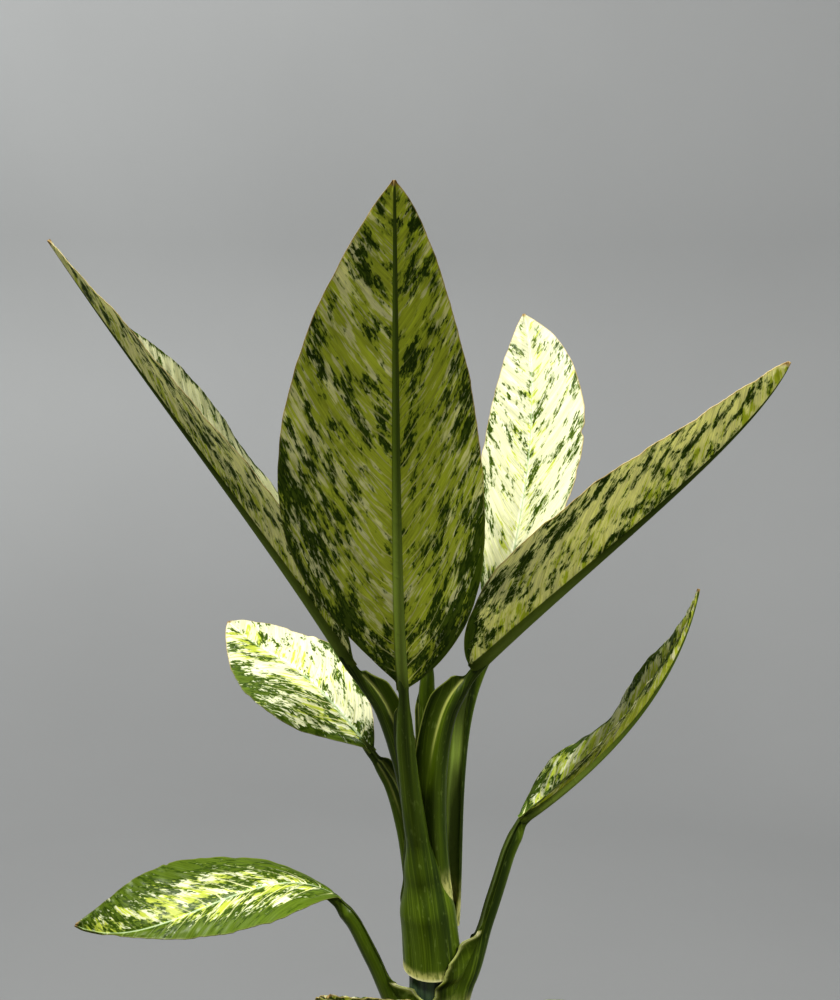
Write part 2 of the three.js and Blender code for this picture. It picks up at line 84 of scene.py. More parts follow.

# heading: compass angle, 0 along +X. stalk, midrib: points of a cubic curve; the stalk ends where the
# midrib begins. sections: place along the stalk, half width, half depth. sleeve: foot of a short
# sheath round the cane. over: how far it lies outside its neighbour. roll: turn about the midrib at
# its foot and tip. In each pair below, the half on the leaf's left, seen from above with the tip away,
# comes first. width: half width of the blade. shape: widest place, fullness below it, fullness above
# it. fold: lift at foot and tip. cup: rise towards the margin. wave: height, waves, start. nicks:
# half, place, depth, length. wings: place, reach of the left and right wing. lean: how far the wings
# lean outwards. torn: depth of the tears in their margin. clasp: place, half angle of the wall round
# the stalk's groove. hollow: where that groove closes. pale_foot: height where the pale foot begins
# to end. foot_fade: how pale it is, and over what height it ends; the foot is pale of itself, and its
# colour is made lighter still as painted light where it catches the light. foot_rise: lift of the
# sheath's foot, and what its back has besides. marbling: seed, more green, more yellow-green.
# painted_light: how much lighter a half is painted, with less green and yellow-green, as painted light
# in place of light that the lamps don't bring to that half. green_edge: last place along the blade
# with a green margin. band: its width.

# what a leaf has where its own row says nothing
USUAL = dict(
    roll=(0, 0), cup=(0, 0), lean=(20, 20), over=0, torn=0.25, hollow=(0.04, 0.2),
    clasp=((-0.15, 176), (0, 150), (0.12, 112), (0.4, 112), (0.6, 130), (1, 140)),
    painted_light=(0, 0), band=7, foot_fade=(0.88, 14), wave=((0, 1, 0), (0, 1, 0)), nicks=(),
)
LEAF_TABLE = (
    dict(
        name="inner", heading=-50, width=(25, 25), lean=(15, 15), pale_foot=258,
        marbling=(1.7, -0.03, 0.0), green_edge=(0.2, 0.2),
        fold=((50, 48), (50, 48)), shape=((0.42, 1, 0.8), (0.42, 1, 0.8)),
        stalk=((0, 0, 264), (-1, 0, 300), (-3, 0, 345)),
        midrib=((-3.5, -2, 381.5), (-7, 3, 446), (-11, 7, 510), (-15.5, 6, 575)),
        sections=((0, 3.6, 3.6), (0.4, 4.6, 4), (0.8, 4.6, 3.4), (1, 2.8, 2.6)),
        wings=((0, 3, 3), (0.5, 4, 3), (0.75, 4, 3), (0.86, 0, 0)),
    ),
    dict(
        name="rear", heading=75, width=(31, 37), roll=(-45, 0), cup=(-0.16, 0), lean=(10, 10),
        pale_foot=252, marbling=(4.3, -0.085, -0.125), green_edge=(0.5, 0.1),
        fold=((15.5, 4), (17, 4)), shape=((0.47, 1, 0.76), (0.5, 0.97, 0.88)),
        nicks=((1, 0.6, 2.0, 0.012), (1, 0.5, 0.9, 0.02)),
        stalk=((9, 5, 240), (12, 7, 290), (7, 26, 340)),
        midrib=((29.3, 38, 375.6), (51.7, 45.1, 447.4), (60.3, 65.8, 512.9), (52.6, 96, 558.8)),
        sections=((0, 5, 4.6), (0.5, 5.2, 4.6), (0.8, 4.8, 4.2), (1, 2.8, 2.8)),
        wings=((0, 1, 1), (0.4, 1.5, 1.5), (0.75, 1, 1), (0.85, 0, 0)),
    ),
    dict(
        name="upper_left", heading=-166, width=(43, 43), roll=(0, -15), cup=(-0.05, 0),
        lean=(14, 14), pale_foot=250, marbling=(7.9, -0.05, -0.07), painted_light=(0, 0.075),
        green_edge=(0.35, 0.9), band=4,
        fold=((25, 24), (25, 25)), shape=((0.44, 1, 0.55), (0.37, 1, 1)),
        wave=((0, 2, 0), (2.3, 2, -0.7)),
        stalk=((-5, -2, 246), (-9, -2, 285), (-12, -7, 345)),
        midrib=((-39.2, -12, 378.4), (-80.8, -21.7, 446.7), (-128.3, -38.1, 507.4), (-175.9, -50, 581.7)),
        sections=((0, 4.5, 4.5), (0.3, 4.5, 4.3), (0.6, 4.6, 4), (0.85, 4.2, 3.6), (1, 3.1, 2.9)),
        wings=((0, 2, 2), (0.4, 5, 4), (0.7, 7.5, 6), (0.88, 7, 6), (0.95, 3, 3), (0.97, 0, 0)),
    ),
    dict(
        name="upper_right", heading=-14, width=(44, 44), roll=(2, -4), cup=(-0.03, 0), lean=(12, 4),
        pale_foot=262, marbling=(11.2, -0.045, -0.095), green_edge=(0.25, 0.2),
        fold=((47, 28.5), (47, 28.5)), shape=((0.4, 0.5, 0.5), (0.4, 0.67, 0.4)),
        stalk=((8, -2, 240), (0, -6, 290), (-4, -9, 345)),
        midrib=((19.4, -8, 376.1), (74.9, -26.4, 432.9), (147.5, -49.7, 491.2), (159.7, -62, 526)),
        sections=((0, 5.4, 4.6), (0.3, 6.4, 5), (0.6, 6.2, 4.8), (0.85, 5, 4), (1, 3.1, 2.9)),
        wings=((0, 2, 2), (0.35, 6, 6), (0.6, 8, 8.5), (0.85, 7.5, 9), (0.94, 4, 5.5), (0.965, 0, 0)),
    ),
    dict(
        name="mid_left", heading=147, width=(34, 31), roll=(-15, -17), cup=(-0.16, -0.05),
        lean=(25, 25), pale_foot=240, marbling=(14.6, -0.015, -0.075), painted_light=(0, 0.05),
        green_edge=(0.75, 0.1),
        fold=((3.5, 3), (4, 3.5)), shape=((0.38, 1.45, 0.5), (0.52, 0.87, 0.62)),
        stalk=((-7, 3, 228), (-10, 6, 262), (-13, 19, 303)),
        midrib=((-31.4, 30, 323.4), (-80, 57, 379.4), (-80.7, 81.5, 353), (-119.8, 112, 379.5)),
        sections=((0, 5, 5), (0.3, 4.8, 4.6), (0.6, 4.4, 4), (0.85, 4, 3.4), (1, 2.8, 2.6)),
        wings=((0, 2, 2), (0.4, 4, 4), (0.75, 5, 5), (0.92, 4, 4), (0.97, 0, 0)),
    ),
    dict(
        name="front", heading=-89, width=(47, 53), roll=(12.5, 19), lean=(8, 40), pale_foot=214.4,
        marbling=(17.4, -0.04, 0.055), painted_light=(-0.01, 0.02), green_edge=(0.42, 0.55),
        hollow=(0.3, 0.46), foot_fade=(1, 7), foot_rise=(4, 2.6),
        fold=((15, 10), (14.5, 9.5)), shape=((0.33, 0.55, 0.38), (0.43, 1.3, 0.7)),
        stalk=((0, 0, 214), (-1, 0, 262), (-14, -18, 310)),
        midrib=((-14.6, -36, 371.1), (-18, -60.9, 408), (-17.2, -71.5, 524.6), (-17.4, -95, 600.9)),
        sections=(
            (0, 15.2, 15.2), (0.22, 14.2, 13.6), (0.35, 9.6, 9), (0.48, 5.8, 5.6), (0.8, 4.6, 4.2),
            (1, 2.9, 2.8),
        ),
        clasp=((0, 176), (0.1, 150), (0.2, 118), (0.3, 104), (0.45, 120), (0.7, 136), (1, 140)),
        wings=((0, 1, 1), (0.3, 2, 3), (0.5, 4, 6), (0.8, 4, 6), (0.9, 3, 5), (0.96, 0, 0)),
    ),
    dict(
        name="mid_right", heading=4, sleeve=193, width=(23.5, 24), roll=(2, -14),
        cup=(-0.18, -0.15), torn=1.6, pale_foot=197, marbling=(21.8, -0.075, 0.01),
        green_edge=(1.1, 1.1), band=9,
        fold=((35, 32), (35, 32)), shape=((0.36, 0.77, 0.4), (0.4, 1, 0.84)),
        wave=((4, 2, -0.75), (0, 2, 0)),
        stalk=((4, 0, 197), (16, -1, 204), (30, 1, 252)),
        midrib=((44.2, 4, 296), (81, 4.6, 320), (126.7, 16.6, 357.4), (137.2, 16, 412.5)),
        sections=(
            (-0.15, 14.2, 14.2), (0, 11.5, 11), (0.2, 7.4, 6.8), (0.5, 4.5, 4.2), (0.9, 4, 3.7),
            (1, 3.4, 3.2),
        ),
        wings=(
            (-0.15, 0.4, 0.4), (0, 2, 4), (0.2, 4, 13), (0.3, 2, 11.5), (0.38, 0.5, 6),
            (0.44, 0, 1.5), (0.5, 0, 0),
        ),
    ),
    dict(
        name="low_left", heading=189, sleeve=176, width=(32.5, 34.5), roll=(7, -54),
        cup=(-0.07, -0.09), over=1.3, torn=1.6, pale_foot=180, marbling=(25.1, 0.05, -0.02),
        green_edge=(1.1, 1.1), band=15,
        fold=((1, 11.5), (1, 12)), shape=((0.28, 1.05, 1), (0.53, 1.2, 0.84)),
        nicks=((1, 0.62, 1.2, 0.008),),
        stalk=((-4, -1, 180), (-18, -5, 196), (-34, -9, 240)),
        midrib=((-46.9, -8, 258.7), (-84.8, -12.7, 290.7), (-134, -30.6, 233.4), (-175, -30, 253.6)),
        sections=(
            (-0.15, 14.2, 14.2), (0, 11.5, 11), (0.2, 7.4, 6.8), (0.6, 4.9, 4.5), (0.9, 4.6, 4),
            (1, 3.6, 3.2),
        ),
        wings=(
            (-0.15, 0.4, 0.4), (0, 4, 2), (0.2, 12, 4), (0.33, 10, 2), (0.4, 5, 0.5),
            (0.46, 1.5, 0), (0.52, 0, 0),
        ),
    ),
    dict(
        name="low_right", heading=-31, sleeve=159, width=(30, 30), cup=(-0.12, 0), torn=1.2,
        pale_foot=163, marbling=(28.3, 0.0, 0.01), green_edge=(0.5, 0.5),
        fold=((3, 0), (14, 8)), shape=((0.42, 0.95, 0.8), (0.42, 1, 0.8)),
        stalk=((3, -2, 163), (10, -6, 170), (20, -14, 182)),
        midrib=((28, -19, 195), (44, -28, 220), (76, -50, 208), (106, -70, 182)),
        sections=((-0.15, 14.2, 14.2), (0, 11, 10.5), (0.3, 6.4, 6), (0.7, 4.6, 4.2), (1, 3.2, 3)),
        wings=((0, 1.5, 1.5), (0.3, 3, 3), (0.6, 0, 0)),
    ),
    dict(
        name="low_front", heading=-121, sleeve=143, width=(30, 30), roll=(13, 13), torn=1.2,
        pale_foot=147, marbling=(31.9, 0.0, 0.01), green_edge=(0.5, 0.5),
        fold=((10.5, 6.5), (10.5, 6.5)), shape=((0.42, 1, 0.8), (0.42, 1, 0.8)),
        stalk=((-1, -3, 147), (-5, -12, 156), (-9, -30, 168)),
        midrib=((-14, -44, 186), (-21, -71, 229), (-32, -100, 246.5), (-44.5, -128, 263)),
        sections=((-0.15, 14.2, 14.2), (0, 11, 10.5), (0.3, 6.4, 6), (0.7, 4.6, 4.2), (1, 3.2, 3)),
        wings=((0, 1.5, 1.5), (0.3, 3, 3), (0.6, 0, 0)),
    ),
)
LEAVES = [{**USUAL, **leaf} for leaf in LEAF_TABLE]


# ---------------------------------------------------------------- colour and small sums
def linear(code):
    """An sRGB hex colour as linear red, green and blue."""
    values = [int(code[place : place + 2], 16) / 255 for place in (1, 3, 5)]
    return [v / 12.92 if v <= 0.04045 else ((v + 0.055) / 1.055) ** 2.4 for v in values]


def opaque(colour):
    """A hex code or a setting as a node's colour, while a socket or a node stays as it is."""
    if isinstance(colour, (bpy.types.Node, bpy.types.NodeSocket)):
        return colour
    return (*(linear(colour) if isinstance(colour, str) else colour), 1.0)


def smooth(value, low, high):
    """0 below low, 1 above high, and a soft step between."""
    share = np.clip((np.asarray(value, float) - low) / (high - low), 0, 1)
    return share * share * (3 - 2 * share)


def unit(vectors):
    return vectors / np.maximum(np.linalg.norm(vectors, axis=-1, keepdims=True), 1e-12)


def wobble(place, seed):
    """A smooth irregular curve between about -1 and 1."""
    waves = ((1.0, 0.5), (2.3, 0.3), (5.1, 0.2))
    return sum(size * np.sin(rate * place + seed * (2.1 + rate)) for rate, size in waves)


# ---------------------------------------------------------------- settings
def colour_of(name, description, code):
    return FloatVectorProperty(name=name, description=description, subtype="COLOR", default=linear(code))


def length_of(name, description, size):
    return FloatProperty(name=name, description=description, unit="LENGTH", default=size * MM)


def count_of(name, description, number):
    return IntProperty(name=name, description=description, default=number, min=1)


def power_of(name, description, watts):
    return FloatProperty(name=name, description=description, default=watts)


class PlantSettings(bpy.types.PropertyGroup):
    cream: colour_of("Cream", "Palest colour of a leaf", "#f0f3d4")
    lime: colour_of("Yellow-green", "Soft patches of a leaf", "#c3cf52")
    green: colour_of("Leaf green", "Rims of the dark flecks", "#6f862a")
    dark: colour_of("Dark green", "Middle of the dark flecks", "#3e560a")
    stalk: colour_of("Stalk green", "Colour of the stalks", "#46570c")
    vein_spacing: length_of("Vein spacing", "Distance between side veins", 8.5)
    quilting: length_of("Quilting", "Rise of the blade between side veins", 0.8)
    thickness: length_of("Blade thickness", "Thickness beside the midrib", 0.7)


class PotSettings(bpy.types.PropertyGroup):
    clay: colour_of("Clay", "Colour of the fired clay", "#b56a49")
    peat: colour_of("Peat", "Colour of the damp peat", "#3a2a1f")
    crumbs: count_of("Peat crumbs", "Crumbs on the soil", 1500)
    chips: count_of("Bark chips", "Bark chips on the soil", 90)
    perlite: count_of("Perlite grains", "White grains on the soil", 110)
    seed: IntProperty(name="Seed", description="Seed of the scatter on the soil", default=7)


class StageSettings(bpy.types.PropertyGroup):
    backdrop: colour_of("Backdrop", "Colour of floor and wall", "#8d8f90")
    key_power: power_of("Key light", "Power of the key light in watts", 214)
    wall_power: power_of("Wall light", "Power of the wall light in watts", 12)
    spot_power: power_of("Spot", "Power of the spot on the shaded leaf", 330)
    fill: FloatProperty(name="Fill", description="Strength of the light from all round", default=0.31)


# ---------------------------------------------------------------- nodes
def add(tree, kind, inputs=(), **settings):
    """Adds a node. inputs are values, sockets or nodes, in order or by name or number."""
    node = tree.nodes.new(kind)
    for name, value in settings.items():
        setattr(node, name, value)
    for key, value in (inputs.items() if isinstance(inputs, dict) else enumerate(inputs)):
        if isinstance(value, bpy.types.Node):
            value = next(socket for socket in value.outputs if socket.enabled)
        if isinstance(value, bpy.types.NodeSocket):
            tree.links.new(value, node.inputs[key])
        elif value is not None:
            node.inputs[key].default_value = value
    return node


class Nodes:
    """Short calls for the nodes that a tree uses most. Most of them give the new node's output."""

    def __init__(self, tree):
        self.tree = tree
        tree.nodes.clear()

    def put(self, kind, inputs=(), **settings):
        return add(self.tree, kind, inputs, **settings)

    def math(self, operation, *values):
        return self.put("ShaderNodeMath", values, operation=operation).outputs[0]

    def times(self, *values):
        return self.math("MULTIPLY", *values)

    def plus(self, *values):
        return self.math("ADD", *values)

    def minus(self, *values):
        return self.math("SUBTRACT", *values)

    def weighted(self, start, *pairs):
        """start plus each value times its weight."""
        total = start
        for value, weight in pairs:
            total = self.math("MULTIPLY_ADD", value, weight, total)
        return total

    def ramp(self, value, low, high, start=0.0, end=1.0, **settings):
        """start below low, end above high, and a straight line between."""
        return self.put("ShaderNodeMapRange", (value, low, high, start, end), **settings).outputs[0]

    def step(self, *values):
        """As ramp, with a soft step for the line."""
        return self.ramp(*values, interpolation_type="SMOOTHSTEP")

    def blend(self, amount, first, second, kind="MIX"):
        inputs = {0: amount, 6: opaque(first), 7: opaque(second)}
        return self.put("ShaderNodeMix", inputs, data_type="RGBA", blend_type=kind).outputs[2]

    def layers(self, colour, *coats):
        """A colour under coats, each with its amount and its colour."""
        for amount, coat in coats:
            colour = self.blend(amount, colour, coat)
        return colour

    def scaled(self, vector, scale):
        return self.put("ShaderNodeVectorMath", {0: vector, "Scale": scale}, operation="SCALE").outputs[0]

    def split(self, vector):
        return self.put("ShaderNodeSeparateXYZ", (vector,)).outputs

    def attribute(self, name):
        return self.put("ShaderNodeAttribute", attribute_name=name).outputs["Vector"]

    def object_place(self):
        return self.put("ShaderNodeTexCoord").outputs["Object"]

    def mapped(self, vector, scale, start=(0, 0, 0)):
        inputs = {"Vector": vector, "Location": start, "Scale": scale}
        return self.put("ShaderNodeMapping", inputs).outputs[0]

    def noise(self, vector, scale, detail, **more):
        inputs = {"Vector": vector, "Scale": scale, "Detail": detail, **more}
        return self.put("ShaderNodeTexNoise", inputs).outputs[0]

    def bump(self, strength, distance, height):
        """Fine relief. distance is in millimetres."""
        return self.put("ShaderNodeBump", {"Strength": strength, "Distance": distance * MM, "Height": height})

    def solid(self, colour, rough, more):
        return self.put("ShaderNodeBsdfPrincipled", {"Base Color": colour, "Roughness": rough, **more})

    def finish(self, shader):
        self.put("ShaderNodeOutputMaterial", (shader,))

    def dress(self, geometry, material):
        """Ends a geometry tree: makes its instances real and sets their material."""
        real = self.put("GeometryNodeRealizeInstances", (geometry,))
        dressed = self.put("GeometryNodeSetMaterial", {"Geometry": real, "Material": material})
        self.put("NodeGroupOutput", (dressed,))


def new_material(name):
    """An empty node material and the calls that add nodes to it."""
    material = bpy.data.materials.new(name)
    material.use_nodes = True
    return material, Nodes(material.node_tree)


def new_tree(name, inputs, output):
    """A geometry tree with named inputs, the calls that add nodes to it, and what it is given."""
    tree = bpy.data.node_groups.new(name, "GeometryNodeTree")
    for label, kind in inputs.items():
        tree.interface.new_socket(label, in_out="INPUT", socket_type=f"NodeSocket{kind}")
    tree.interface.new_socket(output, in_out="OUTPUT", socket_type="NodeSocketGeometry")
    make = Nodes(tree)
    return tree, make, make.put("NodeGroupInput").outputs


# ---------------------------------------------------------------- meshes
SHARP_ANGLE = math.radians(55)


def link(name, data):
    """A new object in the scene."""
    thing = bpy.data.objects.new(name, data)
    bpy.context.scene.collection.objects.link(thing)
    return thing


def new_object(name, points, faces, attributes=None, material=None):
    """A mesh object from points in millimetres. attributes holds a vector for each point."""
    mesh = bpy.data.meshes.new(name)
    mesh.from_pydata((np.asarray(points) * MM).tolist(), [], faces)
    for label, values in (attributes or {}).items():
        layer = mesh.attributes.new(label, "FLOAT_VECTOR", "POINT")
        layer.data.foreach_set("vector", np.ascontiguousarray(values, dtype=np.float32).ravel())
    mesh.shade_smooth()
    if material:
        mesh.materials.append(material)
    return link(name, mesh)


def finish_piece(piece, slot, *nodes):
    """Sharpens the edges, and puts the piece on the frame in the place of its CAD nodes."""
    piece.data.set_sharp_from_angle(angle=SHARP_ANGLE)
    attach(piece, "root")
    if nodes:
        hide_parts(*nodes)


def plain_mesh(piece):
    """Turns what a piece's modifiers make into its own mesh."""
    graph = bpy.context.evaluated_depsgraph_get()
    made = bpy.data.meshes.new_from_object(
        piece.evaluated_get(graph), preserve_all_data_layers=True, depsgraph=graph
    )
    old = piece.data
    piece.modifiers.clear()
    piece.data = made
    bpy.data.meshes.remove(old)
    made.name = piece.name


def weld(piece):
    """Merges the points that a cut has left next to each other, so no face is without width."""
    mesh = bmesh.new()
    mesh.from_mesh(piece.data)
    bmesh.ops.remove_doubles(mesh, verts=mesh.verts, dist=WELD_DISTANCE)
    bmesh.ops.dissolve_degenerate(mesh, edges=mesh.edges, dist=WELD_DISTANCE)
    mesh.to_mesh(piece.data)
    mesh.free()


def add_nodes_modifier(piece, tree, values):
    """Gives a piece a node tree, with the tree's inputs set by identifier."""
    modifier = piece.modifiers.new(tree.name, "NODES")
    modifier.node_group = tree
    for item in tree.interface.items_tree:
        if item.item_type == "SOCKET" and item.in_out == "INPUT" and item.name in values:
            modifier[item.identifier] = values[item.name]


def sheet_faces(rows, stations):
    """Faces of a closed thick sheet. Points: all outer ones row by row, then all inner ones."""
    inner = rows * stations
    faces = []
    for row in range(rows - 1):
        right = row * stations
        left = right + stations - 1
        for a in range(right, left):
            b = a + stations
            faces.append((a, a + 1, b + 1, b))
            faces.append((inner + a, inner + b, inner + b + 1, inner + a + 1))
        faces.append((left, inner + left, inner + left + stations, left + stations))
        faces.append((right, right + stations, inner + right + stations, inner + right))
    last = (rows - 1) * stations
    for station in range(stations - 1):
        faces.append((station, inner + station, inner + station + 1, station + 1))
        a = last + station
        faces.append((a, a + 1, inner + a + 1, inner + a))
    return faces


def turned(profile, sides, uneven=None):
    """Points and faces of a turned solid. profile: radius and height, from the axis to the axis.
    uneven: what is added to the radius, from the turns, the radius and the height."""
    points = [(0, 0, profile[0][1])]
    turns = np.linspace(0, 2 * np.pi, sides, endpoint=False)
    rings = profile[1:-1]
    for radius, height in rings:
        grown = radius + (uneven(turns, radius, height) if uneven else 0 * turns)
        points.extend(zip(grown * np.cos(turns), grown * np.sin(turns), np.full(sides, height)))
    points.append((0, 0, profile[-1][1]))
    top = len(points) - 1
    faces = []
    for side in range(sides):
        after = (side + 1) % sides
        faces.append((0, 1 + after, 1 + side))
        for a in range(1, top - sides, sides):
            faces.append((a + side, a + after, a + after + sides, a + side + sides))
        faces.append((top - sides + side, top - sides + after, top))
    return points, faces


# ---------------------------------------------------------------- the leaf's curves
def cubic(points, samples):
    """Points and tangents of a cubic curve, evenly spaced along it, and its length."""
    p = np.array(points, float)
    t = np.linspace(0, 1, 4 * samples)[:, None]
    places = (1 - t) ** 3 * p[0] + 3 * (1 - t) ** 2 * t * p[1] + 3 * (1 - t) * t**2 * p[2] + t**3 * p[3]
    return even(places, samples)


def even(places, samples):
    """A curve's points spaced evenly, with tangents and the length."""
    steps = np.linalg.norm(np.diff(places, axis=0), axis=1)
    run = np.concatenate([[0], np.cumsum(steps)])
    at = np.linspace(0, run[-1], samples)
    spaced = np.stack([np.interp(at, run, places[:, axis]) for axis in range(3)], axis=1)
    return spaced, unit(np.gradient(spaced, axis=0)), run[-1]


def leaf_axes(along, heading, roll):
    """The leaf's own axes at each tangent: to its left, and out of its upper face."""
    angle = math.radians(heading)
    level = np.array([-math.sin(angle), math.cos(angle), 0])
    left = unit(level - (along @ level)[:, None] * along)
    up = np.cross(along, left)
    turn = np.radians(roll)[:, None]
    return np.cos(turn) * left + np.sin(turn) * up, np.cos(turn) * up - np.sin(turn) * left


def outline(share, widest, below, above):
    """Half width of a blade as a share of the widest."""
    share = np.clip(share, 1e-5, 1 - 1e-5)
    rest = (1 - widest) / widest
    swell = np.log(share / widest) + rest * np.log((1 - share) / (1 - widest))
    return np.exp(np.where(share < widest, below, above) * swell)


def rib_stoutness(leaf):
    """Size of the leaf's midrib beside that of a leaf with a half width of 50 mm."""
    return math.sqrt(max(leaf["width"]) / 50)


# ---------------------------------------------------------------- blades
BLADE_ROWS = 190
RIB_STATIONS = 5
LAMINA_STATIONS = 24
MARGIN_THICKNESS = 0.3
MARGIN_WAVER = 0.35
LEAST_LAMINA = 0.4
RIPPLE = 0.9
RIB_HALF = 2.6
RIB_TIP_HALF = 0.35
RIB_DEPTH = 4.6
RIB_TIP_DEPTH = 0.6
GROOVE = 0.7
# largest value of the attribute that measures the distance from the midrib in half widths of it
RIB_LIMIT = 4
# side veins: how far they lean back from the midrib, how that grows, the share of it at the blade's
# foot, and what their slant does to the size of the marbling
VEIN_SLOPE = 0.95
VEIN_CURVE = 0.011
VEIN_FOOT_SHARE = 0.75
VEIN_SLANT = 1.65
# drift of the side veins: scale of the noise per millimetre, and how many spacings it shifts them
DRIFT_SCALE = 0.05
DRIFT = 1.6
# marbling: what brings the mean of each sum of noises back to 0.5, and the levels at which a green
# fleck begins and is full
GREEN_BALANCE = 0.185
LIME_BALANCE = 0.225
FLECK_BEGIN = 0.494
FLECK_FULL = 0.508


def blade_points(leaf, thickness):
    """Outer and inner points of a blade, and the attributes that its surface is drawn by."""
    seed = leaf["marbling"][0]
    middle, along, length = cubic(leaf["midrib"], BLADE_ROWS)
    share = np.linspace(0, 1, BLADE_ROWS)
    left, up = leaf_axes(along, leaf["heading"], leaf["roll"][0] + np.diff(leaf["roll"])[0] * share)
    rib = RIB_TIP_HALF + (RIB_HALF * rib_stoutness(leaf) - RIB_TIP_HALF) * (1 - share) ** 0.8
    rib_depth = RIB_TIP_DEPTH + (RIB_DEPTH - RIB_TIP_DEPTH) * (1 - share) ** 1.2
    steps = [step / RIB_STATIONS for step in range(RIB_STATIONS)]
    steps += [1 + step / LAMINA_STATIONS for step in range(LAMINA_STATIONS + 1)]
    columns = []
    for half, sign, stations in ((1, -1, steps[:0:-1]), (0, 1, steps)):
        width = leaf["width"][half] * outline(share, *leaf["shape"][half])
        for nick_half, place, depth, long in leaf["nicks"]:
            if nick_half == half:
                width = width - depth * np.exp(-(((share - place) / long) ** 2))
        width = width + MARGIN_WAVER * wobble(share * 26, seed + half) * smooth(share, 0, 0.1)
        width = np.maximum(width, rib + LEAST_LAMINA)
        fold = np.radians(leaf["fold"][half][0] + np.diff(leaf["fold"][half])[0] * share)
        height, waves, start = leaf["wave"][half]
        ripple = height * np.sin(2 * np.pi * waves * share + start) * np.sin(np.pi * share)
        ripple = ripple + RIPPLE * wobble(share * 17, seed * 1.3 + half) * smooth(share, 0.05, 0.3)
        for step in stations:
            on_rib = min(step, 1)
            across = rib * on_rib + (width - rib) * max(step - 1, 0) ** 0.9
            reach = across / width
            lift = across * (np.sin(fold) + leaf["cup"][half] * reach) + ripple * reach**3
            top = middle + sign * (across * np.cos(fold))[:, None] * left + lift[:, None] * up
            lamina_up = np.cos(fold)[:, None] * up - sign * np.sin(fold)[:, None] * left
            normal = unit(up * (1 - on_rib) + lamina_up * on_rib)
            groove = GROOVE * (rib / RIB_HALF) * (1 - on_rib**2)
            deep = MARGIN_THICKNESS + (thickness - MARGIN_THICKNESS) * (1 - reach**2)
            deep = deep + (rib_depth - thickness) * math.sqrt(1 - on_rib**2)
            columns.append(dict(
                inner=top - groove[:, None] * normal,
                outer=top - deep[:, None] * normal,
                sheet=lamina_up,
                across=sign * across,
                edge=width - across,
                rib=np.minimum(across / rib, RIB_LIMIT),
                reach=reach,
            ))
    field = {key: np.stack([column[key] for column in columns], axis=1) for key in columns[0]}
    none = np.zeros_like(field["reach"])
    along_leaf = share[:, None] + none
    near = VEIN_FOOT_SHARE + (1 - VEIN_FOOT_SHARE) * smooth(share, 0, 0.35)[:, None]
    slope = VEIN_SLOPE * np.abs(field["across"]) + VEIN_CURVE * field["across"] ** 2
    place = np.stack([along_leaf * length - near * slope, field["across"], along_leaf], axis=-1)
    edge_limit = np.where(field["across"] > 0, *leaf["green_edge"])
    green = 1 - smooth(along_leaf, edge_limit - 0.1, edge_limit + 0.06)
    # painted light: some halves get less green and yellow-green, to stand in for light that the lamps don't
    # bring to them; it rides in the marbling attribute
    lighter = np.where(field["across"] > 0, *leaf["painted_light"])
    tone = np.array(leaf["marbling"]) - lighter[..., None] * np.array([0, 1, 1])
    side = np.stack([field["reach"], none, field["edge"] / leaf["band"]], axis=-1)
    attributes = {
        "vein_place": place,
        "skin": np.stack([field["edge"], field["rib"], green], axis=-1),
        "sheet": field["sheet"],
        "marbling": tone,
        "side": (side + np.array([0, 1, 0]), side),
    }
    return field["outer"], field["inner"], attributes


def thick_sheet(name, outer, inner, attributes, material):
    """A closed sheet between an outer and an inner grid of points. An attribute is one grid, or one for
    each face."""
    points = np.concatenate([outer.reshape(-1, 3), inner.reshape(-1, 3)])
    joined = {}
    for label, grids in attributes.items():
        pair = grids if isinstance(grids, tuple) else (grids, grids)
        joined[label] = np.concatenate([grid.reshape(-1, 3) for grid in pair])
    return new_object(name, points, sheet_faces(*outer.shape[:2]), joined, material)


def relief_tree():
    """Raises the blade between its side veins, along the veins' own curve."""
    inputs = {"Blade": "Geometry", "Vein spacing": "Float", "Quilting": "Float", "Material": "Material"}
    tree, make, given = new_tree("blade_relief", inputs, "Blade")

    def named(label):
        return make.put("GeometryNodeInputNamedAttribute", (label,), data_type="FLOAT_VECTOR")

    place = named("vein_place")
    reach = make.split(named("side"))["X"]
    metres = make.times(make.split(place)["X"], MM)
    turns = make.math("DIVIDE", metres, given["Vein spacing"])
    uneven = make.math("MULTIPLY_ADD", make.noise(place, DRIFT_SCALE, 1.0), DRIFT, turns)
    rise = make.math("ABSOLUTE", make.math("SINE", make.times(uneven, math.pi)))
    crown = make.math("POWER", rise, 0.7)
    swell = make.times(make.step(reach, 0.04, 0.4), make.step(reach, 0.7, 1.0, 1.0, 0.35))
    height = make.times(make.times(crown, swell), given["Quilting"])
    offset = make.scaled(named("sheet"), height)
    moved = make.put("GeometryNodeSetPosition", {"Geometry": given["Blade"], "Offset": offset})
    make.dress(moved, given["Material"])
    return tree


